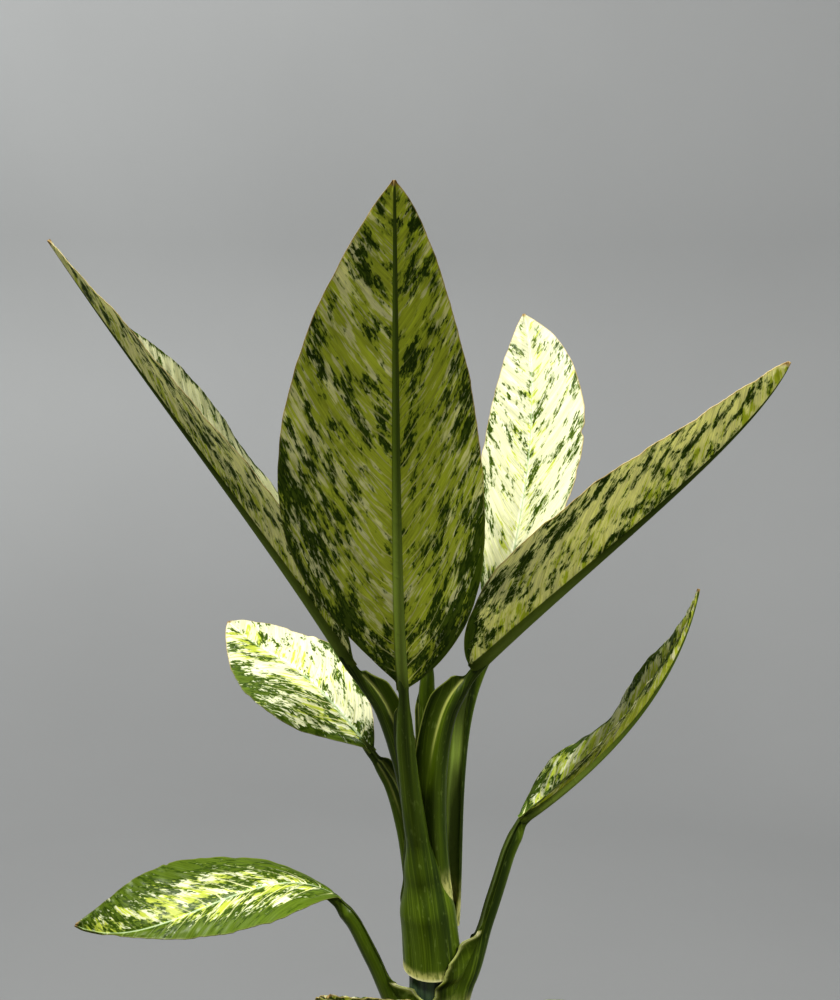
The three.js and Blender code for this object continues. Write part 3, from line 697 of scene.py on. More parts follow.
def leaf_material(plant):
    """A living marbled leaf, smooth with a thin wax: pale skin with sharp green flecks along the side
    veins, and light that comes through it turns yellow-green."""
    material, make = new_material("living_leaf_marbled")
    place = make.attribute("vein_place")
    run, _, share = make.split(place)
    edge, rib, green_edge = make.split(make.attribute("skin"))
    # the marbling attribute also carries painted light: halves made lighter for light that the lamps don't
    # bring to them
    seed, greenness, limeness = make.split(make.attribute("marbling"))
    reach, under, in_band = make.split(make.attribute("side"))

    def veined(across_veins, along_veins, shift):
        """The place in the leaf's vein pattern, in units of the two sizes in millimetres. The veins run
        at a slant to the midrib, so a step along the midrib crosses fewer of them."""
        starts = (seed, make.times(seed, 1.7), make.plus(seed, shift))
        start = make.put("ShaderNodeCombineXYZ", starts).outputs[0]
        return make.mapped(place, (1 / (across_veins * VEIN_SLANT), VEIN_SLANT / along_veins, 0), start)

    def streaks(across_veins, along_veins, detail, shift):
        return make.noise(veined(across_veins, along_veins, shift), 1.0, detail)

    def blocks(across_veins, along_veins, shift):
        inputs = {"Vector": veined(across_veins, along_veins, shift), "Scale": 1.0}
        return make.split(make.put("ShaderNodeTexVoronoi", inputs).outputs["Color"])[0]

    def without(value):
        return make.minus(1.0, value)

    broad = streaks(24, 50, 2.0, 1)
    patch = streaks(6.0, 12, 3.0, 2)
    fleck = streaks(1.7, 5.5, 2.0, 3)
    grain = streaks(0.7, 18, 2.0, 4)
    cell = blocks(0.8, 1.9, 5)
    bead = blocks(0.9, 1.2, 6)
    cloud = streaks(11, 26, 2.0, 7)
    streak = streaks(2.2, 11, 3.0, 8)

    # green flecks, more of them at the foot and along the margins
    outward = make.step(reach, 0.15, 0.85, -0.05, 0.03)
    margin = make.plus(make.step(in_band, 0.05, 1.0, 0.12, 0.0), outward)
    margin = make.times(margin, green_edge)
    ends = make.plus(make.step(share, 0.0, 0.3, 0.08, 0.0), make.step(share, 0.8, 1.0, 0.0, -0.05))
    level = make.plus(make.plus(greenness, margin), ends)
    level = make.minus(level, GREEN_BALANCE)
    level = make.weighted(level, (patch, 0.68), (fleck, 0.32), (broad, 0.25), (cell, 0.12))
    core = make.times(make.step(level, FLECK_FULL, 0.55), make.step(level, 0.58, 0.67, 1.0, 0.3))
    pinholes = make.times(make.step(bead, 0.86, 0.9), make.step(level, 0.62, 0.56))
    flecks = without(make.times(pinholes, 0.85))
    flecks = make.times(make.step(level, FLECK_BEGIN, FLECK_FULL), flecks)

    # yellow-green streaks in the pale ground, more of them near the midrib
    tint = make.plus(limeness, make.step(reach, 0.1, 0.95, 0.05, -0.05))
    tint = make.minus(tint, LIME_BALANCE)
    tint = make.weighted(tint, (cloud, 0.35), (streak, 0.65), (grain, 0.45))
    ground = make.layers(
        plant.cream,
        (make.step(tint, 0.455, 0.545), plant.lime),
        (make.times(make.step(level, 0.445, FLECK_BEGIN), 0.5), plant.green),
    )
    colour = make.blend(flecks, ground, make.blend(core, plant.green, plant.dark))

    # side veins: fine pale lines that fade towards the margin and the tip
    drift = make.noise(place, DRIFT_SCALE, 1.0)
    turns = make.math("DIVIDE", run, plant.vein_spacing / MM)
    turns = make.plus(turns, make.times(drift, DRIFT))
    off = make.minus(make.math("FRACT", make.plus(turns, 0.5)), 0.5)
    line = make.step(make.math("ABSOLUTE", off), 0.03, 0.065, 1.0, 0.0)
    line = make.times(line, make.step(reach, 0.25, 0.8, 1.0, 0.0))
    line = make.times(line, make.step(share, 0.4, 0.75, 1.0, 0.15))
    colour = make.blend(line, colour, "#dde0a8")
    colour = make.scaled(colour, make.ramp(grain, 0.3, 0.7, 0.8, 1.2))

    # midrib, thin dry rim, dry tip
    rib_under = make.blend(make.step(share, 0.0, 0.08), "#53651b", "#75893a")
    rib_under = make.blend(make.step(share, 0.2, 0.55), rib_under, "#4c5f18")
    rib_mask = make.times(make.step(rib, 0.95, 1.2, 1.0, 0.0), under)
    groove = make.times(make.step(rib, 0.25, 0.5, 0.75, 0.0), without(under))
    dry = without(make.times(green_edge, 0.8))
    dry = make.times(make.step(edge, 0.25, 0.7, 0.75, 0.0), dry)
    colour = make.layers(
        colour,
        (make.plus(rib_mask, groove), make.blend(under, "#a3b48d", rib_under)),
        (dry, "#cbb888"),
        (make.step(share, 0.986, 0.997), "#b49c6a"),
    )

    face = make.blend(under, colour, "#fbf5e6", "MULTIPLY")
    lit = make.blend(1.0, colour, "#f9f4c8", "MULTIPLY")
    bump = make.bump(0.35, 0.4, make.weighted(0.0, (line, 0.5), (grain, 0.8), (fleck, 0.3)))
    waxy = make.weighted(make.step(under, 0.0, 1.0, 0.28, 0.44), (patch, 0.16))
    front = make.solid(face, waxy, {"IOR": 1.4, "Specular IOR Level": 0.22, "Normal": bump})
    through = make.put("ShaderNodeBsdfTranslucent", {"Color": lit, "Normal": bump})
    thin = make.step(rib, 0.6, 1.2, 0.1, 0.45)
    make.finish(make.put("ShaderNodeMixShader", (thin, front, through)))
    return material


# ---------------------------------------------------------------- stalks
STALK_ROWS = 120
ARC_STATIONS = 33
WING_STATIONS = 7
CURVE_SAMPLES = 100
STALK_OVERRUN = 0.14
STALK_END_DEPTH = 2.7
STALK_END_SHARE = 0.92
STALK_END_TAPER = 0.85
STALK_GROOVE_SHARE = 0.16
SLEEVE_SHARE = -0.15
SLEEVE_SAMPLES = 12
SMOOTHINGS = 10
SHEATH_WALL = 1.6
# half width from which a sheath's wall is full, and the share of it on the thinnest stalk
FULL_WALL_FROM = 8
THIN_WALL_SHARE = 0.45
SHEATH_CLEARANCE = 0.4
WING_THICKNESS = 1.0
WING_EDGE_THICKNESS = 0.45
LEAST_WING = 0.35
TORN_MARGIN = 1
EDGE_LINE = 0.9


def through(table, share, column):
    """A value from a table of places, with soft steps between them."""
    places = np.array([row[0] for row in table], float)
    values = np.array([row[column] for row in table], float)
    after = np.clip(np.searchsorted(places, share), 1, len(places) - 1)
    part = smooth((share - places[after - 1]) / (places[after] - places[after - 1]), 0, 1)
    return values[after - 1] + (values[after] - values[after - 1]) * part


def stalk_path(leaf):
    """Centre line of a stalk: from the cane's axis where it has a sleeve, up to the blade's foot and a
    little way along the midrib. Gives points, tangents, the place along the stalk, and the run."""
    rise, _, _ = cubic((*leaf["stalk"], leaf["midrib"][0]), CURVE_SAMPLES)
    rib, _, _ = cubic(leaf["midrib"], CURVE_SAMPLES)
    over = rib[1 : int(CURVE_SAMPLES * STALK_OVERRUN)]
    places = np.concatenate([rise, over])
    beyond = np.linspace(1 / CURVE_SAMPLES, STALK_OVERRUN, len(over))
    shares = np.concatenate([np.linspace(0, 1, len(rise)), 1 + beyond])
    if "sleeve" in leaf:
        foot = np.array([0, 0, leaf["sleeve"]], float)
        entry = foot + (rise[0] - foot) * np.linspace(0, 1, SLEEVE_SAMPLES)[:-1, None]
        places = np.concatenate([entry, places])
        shares = np.concatenate([np.linspace(SLEEVE_SHARE, 0, SLEEVE_SAMPLES)[:-1], shares])
    for _ in range(SMOOTHINGS):
        places[1:-1] = places[1:-1] * 0.5 + (places[:-2] + places[2:]) * 0.25
    steps = np.concatenate([[0], np.cumsum(np.linalg.norm(np.diff(places, axis=0), axis=1))])
    run = np.linspace(0, steps[-1], STALK_ROWS)
    share = np.interp(run, steps, shares)
    spaced, along, _ = even(places, STALK_ROWS)
    lift = smooth(share, shares[0], shares[0] + 0.3)[:, None]
    along = unit(along * lift + np.array([0, 0, 1.0]) * (1 - lift))
    return spaced, along, share, run


def clear_radius(height):
    """Radius just outside the cane, and outside the youngest sheath above its foot."""
    on_sheath = smooth(height, SHEATH_FOOT - 1, SHEATH_FOOT + 5)
    return CANE_RADIUS + SHEATH_CLEARANCE + (SHEATH_RADIUS - CANE_RADIUS) * on_sheath


def hug(points, gap):
    """Keeps a sheath's points outside the cane, and outside the youngest sheath above its foot."""
    distance = np.hypot(points[..., 0], points[..., 1])
    grow = np.maximum((clear_radius(points[..., 2]) + gap) / np.maximum(distance, 1e-3), 1)
    return points * np.stack([grow, grow, np.ones_like(grow)], axis=-1)


def wrap(edge, sign, long, proud):
    """Carries a sheath's margin on round the cane, from the edge of the stalk."""
    radius = np.hypot(edge[:, 0], edge[:, 1])
    rest = clear_radius(edge[:, 2]) + 0.1
    turn = np.arctan2(edge[:, 1], edge[:, 0]) + sign * long / rest
    place = radius + (rest - radius) * smooth(long, 0, 6) + proud
    return np.stack([place * np.cos(turn), place * np.sin(turn), edge[:, 2]], axis=-1)


def raise_foot(points, share, front_rise, back_rise):
    """Lifts the foot of the youngest sheath, its sides and back more than its front."""
    near = (1 - smooth(share, 0, 0.12))[:, None]
    front = -points[..., 1] / np.maximum(np.hypot(points[..., 0], points[..., 1]), 1e-3)
    points[..., 2] += (front_rise + back_rise * (1 - front)) * near


def tear(run, seed):
    """The ragged edge of a papery margin: mostly whole, with a few narrow tears."""
    return np.maximum(wobble(run * 0.35, seed), 0) * (0.6 + 0.4 * np.abs(wobble(run * 1.3, seed * 2)))


def stalk_points(leaf):
    """Outer and inner points of a stalk with its sheath and wings, and their attributes."""
    middle, along, share, run = stalk_path(leaf)
    left, up = leaf_axes(along, leaf["heading"], leaf["roll"][0] * smooth(share, 0.55, 1.0))
    joined = smooth(share, 0.9, 1.0)
    taper = 1 - STALK_END_TAPER * smooth(share, 1.0, 1 + STALK_OVERRUN)

    def section(column, end):
        """A half size of the stalk, which turns into that of the midrib's foot."""
        size = through(leaf["sections"], share, column)
        return (size + (end - size) * joined) * taper

    half_width = section(1, STALK_END_SHARE * RIB_HALF * rib_stoutness(leaf))
    half_depth = section(2, STALK_END_DEPTH)
    sunk = (RIB_DEPTH - STALK_END_DEPTH) * smooth(share, 0.8, 1.0)
    middle = middle - sunk[:, None] * up
    span = np.radians(through(leaf["clasp"], share, 1))
    hollow = 1 - smooth(share, *leaf["hollow"])
    seed = leaf["marbling"][0]
    torn = leaf["torn"]
    # a margin is torn only where its wing is free
    free = 1 - smooth(share, 0.36, 0.48) if "sleeve" in leaf else 0.3
    reach = [
        np.maximum(through(leaf["wings"], share, 1 + side), LEAST_WING) + torn * tear(run, seed + side) * free
        for side in (0, 1)
    ]
    blunt = [3 * (1 - smooth(far, 0.9, 2)) for far in reach]
    upper_part = smooth(share, 0.55, 0.8)
    outer, inner, around, rim, pale = [], [], [], [], []

    def spot(x, y):
        return middle + x[:, None] * left + y[:, None] * up

    def station(points, place, to_edge, whiteness):
        outer.append(points[0])
        inner.append(points[1])
        around.append(place)
        rim.append(to_edge)
        pale.append(whiteness)

    def edge_line(side, distance):
        """A pale line where a wing leaves the stalk."""
        return np.exp(-((distance / EDGE_LINE) ** 2)) * upper_part * (reach[side] > 2)

    def wing(side, steps):
        sign = 1 - 2 * side
        lean = math.radians(leaf["lean"][side])
        edge_x = sign * half_width * np.sin(span)
        edge_y = -half_depth * np.cos(span)
        for step in steps:
            long = reach[side] * step
            thick = WING_THICKNESS + (WING_EDGE_THICKNESS - WING_THICKNESS) * step
            if "sleeve" in leaf:
                points = [wrap(spot(edge_x, edge_y), sign, long, proud) for proud in (thick, 0)]
            else:
                curl = lean * (1 - 0.6 * step)
                x = edge_x + sign * long * math.sin(curl)
                y = edge_y + long * math.cos(curl)
                points = (spot(x, y), spot(x - sign * thick * math.cos(curl), y + thick * math.sin(curl)))
            papery = (reach[side] > 1.5) * (torn > TORN_MARGIN)
            papery = 2 * np.exp(-(((reach[side] - long) / 1.3) ** 2)) * papery
            place = sign * (np.abs(span) * half_width + long)
            station(points, place, reach[side] * (1 - step) + blunt[side], edge_line(side, long) + papery)

    def stalk_wall():
        wall = SHEATH_WALL * np.clip(half_width / FULL_WALL_FROM, THIN_WALL_SHARE, 1)
        chord = np.maximum(half_width * np.sin(span) - WING_THICKNESS, 0.2 * half_width)
        for part in np.linspace(-1, 1, ARC_STATIONS):
            side = 0 if part > 0 else 1
            angle = span * part
            thick = WING_THICKNESS + (wall - WING_THICKNESS) * (1 - part**2)
            groove = STALK_GROOVE_SHARE * half_width * (1 - part**2)
            hollow_x = (half_width - thick) * np.sin(angle)
            hollow_y = -(half_depth - thick) * np.cos(angle)
            solid_y = -half_depth * np.cos(span) - groove
            inner_x = hollow_x * hollow + chord * part * (1 - hollow)
            inner_y = hollow_y * hollow + solid_y * (1 - hollow)
            points = (spot(half_width * np.sin(angle), -half_depth * np.cos(angle)), spot(inner_x, inner_y))
            to_wing = (1 - abs(part)) * span * half_width
            to_edge = reach[side] + to_wing + blunt[side]
            station(points, angle * half_width, to_edge, edge_line(side, to_wing))

    wing_steps = np.linspace(0, 1, WING_STATIONS + 1)[1:]
    wing(1, wing_steps[::-1])
    stalk_wall()
    wing(0, wing_steps)

    outer, inner, around, rim, pale = (np.stack(grid, axis=1) for grid in (outer, inner, around, rim, pale))
    # the pale foot: its colour in the stalk material is partly painted light
    paleness, fade = leaf["foot_fade"]
    foot = paleness - paleness * smooth(outer[..., 2], leaf["pale_foot"], leaf["pale_foot"] + fade)
    if "foot_rise" in leaf:
        raise_foot(outer, share, *leaf["foot_rise"])
        raise_foot(inner, share, *leaf["foot_rise"])
    if "sleeve" in leaf:
        outer = hug(outer, WING_THICKNESS + leaf["over"])
        inner = hug(inner, leaf["over"])
    place = np.stack([around, run[:, None] + 0 * around, outer[..., 2]], axis=-1)
    tone = np.broadcast_to(np.array([seed, 0.0, 0.0]), place.shape)
    attributes = {
        "stalk_place": place,
        "skin": np.stack([rim, foot, pale], axis=-1),
        "tone": (tone, tone + np.array([0, 1.0, 0])),
    }
    return outer, inner, attributes


def stalk_material(plant):
    """A living leaf stalk: fleshy, with a thin wax, fine ribs along it, faint pale mottling, and a
    pale foot and margins where the sheath is thin. The foot's pale colour is its own, made lighter
    still as painted light where the foot catches the light."""
    material, make = new_material("living_stalk_waxy")
    place = make.attribute("stalk_place")
    rim, foot, pale = make.split(make.attribute("skin"))
    seed, inside, _ = make.split(make.attribute("tone"))

    def ribs(across, along, detail):
        start = make.put("ShaderNodeCombineXYZ", (seed, 0.0, seed)).outputs[0]
        return make.noise(make.mapped(place, (1 / across, 1 / along, 0), start), 1.0, detail)

    fine = ribs(0.8, 60, 2.0)
    wide = ribs(6.0, 110, 2.0)
    mottle = ribs(1.6, 5.5, 3.0)
    colour = make.layers(
        "#27360a",
        (make.step(wide, 0.28, 0.66), plant.stalk),
        (make.step(fine, 0.5, 0.7, 0.0, 0.35), "#728528"),
        (make.step(mottle, 0.6, 0.72, 0.0, 0.22), "#8c9c55"),
        (make.times(inside, 0.6), "#7a8b42"),
        (make.step(pale, 0.0, 1.0, 0.0, 0.6), "#b9bd6c"),
        (make.step(pale, 1.0, 1.6, 0.0, 0.9), "#f2ebcd"),
        (make.times(make.step(rim, 0.25, 0.9, 1.0, 0.0), 0.8), "#adb465"),
        # painted light: the pale foot's colours are lighter than its own pale tone, where the foot catches
        # the light
        (make.times(foot, make.step(mottle, 0.38, 0.56, 0.35, 1.0)), "#bab873"),
        (make.step(foot, 0.9, 1.0, 0.0, 0.8), "#d3d0a0"),
    )
    ridge = make.plus(fine, make.times(mottle, 0.3))
    inputs = {"IOR": 1.4, "Specular IOR Level": 0.28, "Normal": make.bump(0.3, 0.3, ridge)}
    front = make.solid(colour, make.step(mottle, 0.3, 0.7, 0.28, 0.42), inputs)
    lit = make.blend(1.0, colour, "#e8f268", "MULTIPLY")
    glow = make.put("ShaderNodeBsdfTranslucent", {"Color": lit})
    thin = make.step(rim, 1.0, 10.0, 0.68, 0.1)
    make.finish(make.put("ShaderNodeMixShader", (thin, front, glow)))
    return material


# ---------------------------------------------------------------- cane
CANE_SIDES = 64
CANE_STEP = 0.9
CANE_TIP_RADIUS = 4.3
SCARS = (126, 133, 141, 158, 175, 192)
SCAR_RIDGE = 0.9
SCAR_RIDGE_WIDTH = 0.8
SCAR_HOLLOW = 0.3
SCAR_HOLLOW_ABOVE = 2.2
SCAR_REACH = 4
BARE_TOP = 216


def cane_profile():
    """Radius and height up the cane, with a ridge at each leaf scar."""
    profile = [(0, CANE_FOOT), (CANE_RADIUS * 0.9, CANE_FOOT)]
    for height in np.arange(CANE_FOOT + 1, CANE_TOP, CANE_STEP):
        thin = smooth(height, BARE_TOP, CANE_TOP)
        radius = (CANE_RADIUS - 0.25) * (1 - thin) + CANE_TIP_RADIUS * thin
        near = [height - scar for scar in SCARS if abs(scar - height) < SCAR_REACH]
        ridge = sum(SCAR_RIDGE * math.exp(-((off / SCAR_RIDGE_WIDTH) ** 2)) for off in near)
        hollow = sum(SCAR_HOLLOW * math.exp(-((off - SCAR_HOLLOW_ABOVE) ** 2)) for off in near)
        profile.append((radius + ridge - hollow, height))
    return profile + [(CANE_TIP_RADIUS - 0.1, CANE_TOP), (0, CANE_TOP)]


def cane_uneven(turns, radius, height):
    """Slight ovalness and lengthwise wrinkles of the cane."""
    wrinkle = 0.12 * np.sin(9 * turns + 0.05 * height) + 0.08 * np.sin(17 * turns - 0.03 * height + 1)
    return wrinkle + 0.15 * np.sin(2 * turns + height * 0.02)


def cane_material():
    """A living cane: bluish green and waxy above, turning corky grey-brown near the soil, with tan
    scars where old leaves fell."""
    material, make = new_material("living_cane_corky")
    where = make.object_place()
    height = make.split(where)["Z"]
    streak = make.noise(make.mapped(where, (1 / (1.5 * MM), 1 / (1.5 * MM), 1 / (14 * MM))), 1.0, 3.0)
    blot = make.noise(where, 1 / (9 * MM), 4.0)
    low_down = make.ramp(height, 0.150, 0.185, 0.75, 0.0)
    old = make.plus(low_down, make.math("MULTIPLY_ADD", blot, 0.8, -0.4))
    old = make.ramp(old, 0.2, 0.6)
    coats = [(make.ramp(streak, 0.35, 0.65), "#44563f"), (old, "#7b6a4c")]
    for scar in SCARS:
        off = make.math("ABSOLUTE", make.minus(height, scar * MM))
        coats.append((make.ramp(off, 0.5 * MM, 1.5 * MM, 0.8, 0.0), "#a08a5e"))
    colour = make.layers("#2a382e", *coats)
    rough = make.ramp(old, 0.0, 1.0, 0.34, 0.75)
    make.finish(make.solid(colour, rough, {"IOR": 1.45, "Normal": make.bump(0.5, 0.4, streak)}))
    return material


# ---------------------------------------------------------------- pot and soil
POT_SIDES = 144
POT_ROUNDINGS = (2.0, 1.0, 1.6, 2.2, 2.0, 3.0)
WALL_SPACING = 2.5
DRILL_SIDES = 32
WELD_DISTANCE = 2e-6
SOIL_SIDES = 128
SOIL_RINGS = 34
SOIL_ROUGHNESS = 0.7
CANE_CLEARANCE = 0.6
CRUMB_LEAST = 0.75
CRUMB_SPREAD = 0.45
# density for each piece that is asked for, because the least spacing leaves some out
CROWDING = 1.6


def pot_radius(height):
    return POT_BASE_RADIUS + (POT_BODY_TOP_RADIUS - POT_BASE_RADIUS) * height / (POT_TOP - RIM_BAND_HEIGHT)


def inner_radius(height):
    return pot_radius(height) - POT_WALL


def rounded(corner, before, after, size):
    """A corner of a profile as a short curve."""
    corner, before, after = (np.array(point, float) for point in (corner, before, after))
    start = corner + unit(before - corner) * size
    stop = corner + unit(after - corner) * size
    shares = np.linspace(0, 1, 5)
    return [tuple((1 - s) ** 2 * start + 2 * s * (1 - s) * corner + s**2 * stop) for s in shares]


def wall_between(start, stop):
    """Points along a straight stretch of wall."""
    count = int(math.dist(start, stop) / WALL_SPACING)
    shares = [step / (count + 1) for step in range(1, count + 1)]
    return [tuple(np.array(start) * (1 - s) + np.array(stop) * s) for s in shares]


def pot_profile():
    """The pot's wall from the middle of its underside, round the rim, to the middle of its floor."""
    band_foot = POT_TOP - RIM_BAND_HEIGHT
    band = pot_radius(band_foot) + RIM_BAND_PROUD
    corners = [
        (0, 0),
        (POT_BASE_RADIUS, 0),
        (pot_radius(band_foot), band_foot),
        (band, band_foot),
        (band + RIM_BAND_PROUD / 2, POT_TOP),
        (inner_radius(POT_TOP), POT_TOP),
        (inner_radius(POT_FLOOR), POT_FLOOR),
        (0, POT_FLOOR),
    ]
    profile = [corners[0], (DRAIN_CIRCLE_RADIUS, 0)]
    for place, size in enumerate(POT_ROUNDINGS, start=1):
        curve = rounded(corners[place], corners[place - 1], corners[place + 1], size)
        profile += wall_between(profile[-1], curve[0]) + curve
    return profile + [(DRAIN_CIRCLE_RADIUS, POT_FLOOR), corners[-1]]


def throwing_marks(turns, radius, height):
    """Shallow rings and a slight ovalness, as a hand-finished clay pot has."""
    rings = 0.12 * math.sin(height * 1.9) + 0.08 * math.sin(height * 0.83 + 1)
    level = min(1.0, radius / POT_BASE_RADIUS)
    return level * (rings * (3 < height < POT_TOP - 3) + 0.25 * np.sin(2 * turns + 0.6))


def clay_material(pot):
    """Fired terracotta, unglazed and turned: matt and grainy, with pale lime bloom, and darker towards
    its foot."""
    material, make = new_material("terracotta_unglazed")
    where = make.object_place()
    height = make.split(where)["Z"]

    def noise(size, detail, stretch=1.0):
        return make.noise(make.mapped(where, (1, 1, stretch)), 1 / (size * MM), detail, Roughness=0.6)

    cloud = noise(30, 4.0)
    grit = noise(0.9, 3.0)
    turning = noise(3, 2.0, 6.0)
    bloom = make.plus(noise(16, 6.0, 1.6), make.step(height, 0.02, 0.12, 0.07, -0.03))
    colour = make.layers(
        "#a85d3f",
        (make.step(cloud, 0.35, 0.65), pot.clay),
        (make.step(grit, 0.62, 0.75, 0.0, 0.35), "#d39a78"),
        (make.step(turning, 0.55, 0.75, 0.0, 0.2), "#8f4e36"),
        (make.step(bloom, 0.54, 0.78, 0.0, 0.3), "#dccbb8"),
        (make.step(height, 0.0, 0.03, 0.35, 0.0), "#7d4632"),
    )
    bump = make.bump(0.45, 0.3, make.math("MULTIPLY_ADD", grit, 0.6, turning))
    make.finish(make.solid(colour, make.step(bloom, 0.5, 0.7, 0.78, 0.92), {"IOR": 1.5, "Normal": bump}))
    return material


def earth_material(name, low, high, size, rough):
    """Loose potting matter, dry on top: matt, with a darker and a lighter tone in grains."""
    material, make = new_material(name)
    grain = make.noise(make.object_place(), 1 / (size * MM), 4.0, Roughness=0.65)
    colour = make.blend(make.ramp(grain, 0.35, 0.65), low, high)
    make.finish(make.solid(colour, rough, {"IOR": 1.45, "Normal": make.bump(0.8, 0.5, grain)}))
    return material


def soil_profile():
    """The soil from the middle of its underside, up the pot's wall, to the cane's foot."""
    edge = inner_radius(SOIL_TOP)
    cane = CANE_RADIUS + CANE_CLEARANCE
    foot = POT_FLOOR + GAP
    profile = [(0, foot), (inner_radius(foot) - 3, foot), (inner_radius(POT_FLOOR + 4) - GAP, POT_FLOOR + 4)]
    for radius in np.linspace(edge - GAP, cane, SOIL_RINGS):
        profile.append((radius, SOIL_TOP + SOIL_MOUND * (1 - (radius / edge) ** 2)))
    return profile + [(cane, CANE_FOOT - GAP), (0, CANE_FOOT - GAP)]


def soil_points():
    """The soil's points, with its top made uneven, and its faces."""
    points, faces = turned(soil_profile(), SOIL_SIDES)
    points = np.array(points)
    x, y, z = points.T
    rough = np.sin(x * 0.9 + 1.3 * np.sin(y * 0.5)) * np.cos(y * 0.8) + 0.6 * np.sin(x * 2.1 + y * 1.7)
    off_wall = smooth(inner_radius(SOIL_TOP) - np.hypot(x, y), 0.5, 4)
    points[:, 2] += np.where(z > SOIL_TOP - 1, SOIL_ROUGHNESS * rough * off_wall, 0)
    return points, faces


def scatter_tree():
    """Scatters one shape over the soil, turned and sized at random from a fixed seed."""
    tree, make, given = new_tree("soil_scatter", {
        "Soil": "Geometry",
        "Shape": "Object",
        "Count density": "Float",
        "Least spacing": "Float",
        "Least size": "Float",
        "Largest size": "Float",
        "Seed": "Int",
        "Material": "Material",
    }, "Grains")

    def above(node, limit):
        inputs = (make.split(make.put(node))["Z"], limit)
        return make.put("FunctionNodeCompare", inputs, operation="GREATER_THAN")

    high = above("GeometryNodeInputPosition", (SOIL_TOP - 0.5) * MM)
    level = above("GeometryNodeInputNormal", 0.5)
    points = make.put("GeometryNodeDistributePointsOnFaces", {
        "Mesh": given["Soil"],
        "Selection": make.put("FunctionNodeBooleanMath", (high, level), operation="AND"),
        "Distance Min": given["Least spacing"],
        "Density Max": given["Count density"],
        "Seed": given["Seed"],
    }, distribute_method="POISSON")
    size_inputs = {2: given["Least size"], 3: given["Largest size"], "Seed": given["Seed"]}
    turn_inputs = {0: (0.0, 0.0, 0.0), 1: (2 * math.pi, 2 * math.pi, 2 * math.pi), "Seed": given["Seed"]}
    grains = make.put("GeometryNodeInstanceOnPoints", {
        "Points": points.outputs["Points"],
        "Instance": make.put("GeometryNodeObjectInfo", (given["Shape"],)).outputs["Geometry"],
        "Rotation": make.put("FunctionNodeRandomValue", turn_inputs, data_type="FLOAT_VECTOR").outputs[0],
        "Scale": make.put("FunctionNodeRandomValue", size_inputs).outputs[1],
    })
    make.dress(grains, given["Material"])
    return tree


def crumb_shape(name, stretch, seed):
    """An irregular crumb about 1 m across, with few faces, to be scattered small."""
    shape = bmesh.new()
    bmesh.ops.create_icosphere(shape, subdivisions=1, radius=0.5)
    random = np.random.default_rng(seed)
    for vertex in shape.verts:
        vertex.co *= CRUMB_LEAST + CRUMB_SPREAD * random.random()
        vertex.co = [value * factor for value, factor in zip(vertex.co, stretch)]
    mesh = bpy.data.meshes.new(name)
    shape.to_mesh(mesh)
    shape.free()
    return bpy.data.objects.new(name, mesh)


# ---------------------------------------------------------------- stage
STAGE_FLAT = 950
STAGE_RADIUS = 1750
STAGE_HEIGHT = 2300
STAGE_SIDES = 96
STAGE_BEND_STEPS = 24
CAMERA_PLACE = (-0.0065, -0.650, 0.505)
CAMERA_PITCH = 4
CAMERA_LENS = 46.89
SENSOR = 36
AREA_SIZE = 0.65
KEY_PLACE = (-1.37, -0.96, 3.44)
KEY_TARGET = (0, 0, 0.42)
KEY_COLOUR = (1.0, 0.98, 0.94)
WALL_LIGHT_PLACE = (-1.15, 0.55, 1.8)
WALL_LIGHT_TARGET = (-0.75, 1.75, 0.85)
SPOT_PLACE = (1.31, -0.44, 1.89)
SPOT_TARGET = (0.1, 0.01, 0.355)
SPOT_ANGLE = 7.5
SPOT_SOFTNESS = 0.09
FILL_COLOUR = (0.97, 0.98, 1.0, 1.0)
WHITE = (1.0, 1.0, 1.0)


def stage_points():
    """A level floor that bends up into a round wall. Its faces look inwards."""
    bend = STAGE_RADIUS - STAGE_FLAT
    profile = [(0, 0), (STAGE_FLAT * 0.5, 0)]
    for turn in np.linspace(0, np.pi / 2, STAGE_BEND_STEPS):
        profile.append((STAGE_FLAT + bend * math.sin(turn), bend * (1 - math.cos(turn))))
    points, faces = turned(profile + [(STAGE_RADIUS, STAGE_HEIGHT), (0, STAGE_HEIGHT)], STAGE_SIDES)
    lid = len(points) - 1
    return points[:lid], [face[::-1] for face in faces if lid not in face]


def board_material(stage):
    """Matt painted board, rolled: no gloss, a faint mottle, and painted shade: a little darker towards the
    floor, on the floor darker on the key light's side against its pool of light, and on the wall
    darker towards the side away from the key light."""
    material, make = new_material("painted_board_matt")
    where = make.object_place()
    shade = make.ramp(make.noise(where, 2.2, 4.0), 0.3, 0.7, 0.975, 1.02)
    axes = make.split(where)
    # painted shade: the floor darker than the wall, the floor darker still on the key light's side against
    # the key's pool of light, and the wall darker away from the key light
    low = make.ramp(axes["X"], -0.5, 0.5, 0.64, 0.73)
    high = make.ramp(axes["X"], -0.75, 0.75, 0.98, 0.82)
    rise = make.step(axes["Z"], 0.0, 0.6)
    painted_shade = make.put("ShaderNodeMix", (rise, None, low, high)).outputs[0]
    colour = make.scaled(tuple(stage.backdrop), make.times(shade, painted_shade))
    make.finish(make.solid(colour, 0.95, {"Specular IOR Level": 0.1}))
    return material


def add_light(name, kind, place, target, power, colour, **settings):
    """A light at a place, shining at a target."""
    light = bpy.data.lights.new(name, kind)
    light.energy = power
    light.color = colour
    for setting, value in settings.items():
        setattr(light, setting, value)
    lamp = link(name, light)
    lamp.location = place
    way = np.array(target) - np.array(place)
    level = math.hypot(way[0], way[1])
    lamp.rotation_euler = (math.atan2(level, -way[2]), 0, math.atan2(way[1], way[0]) - math.pi / 2)


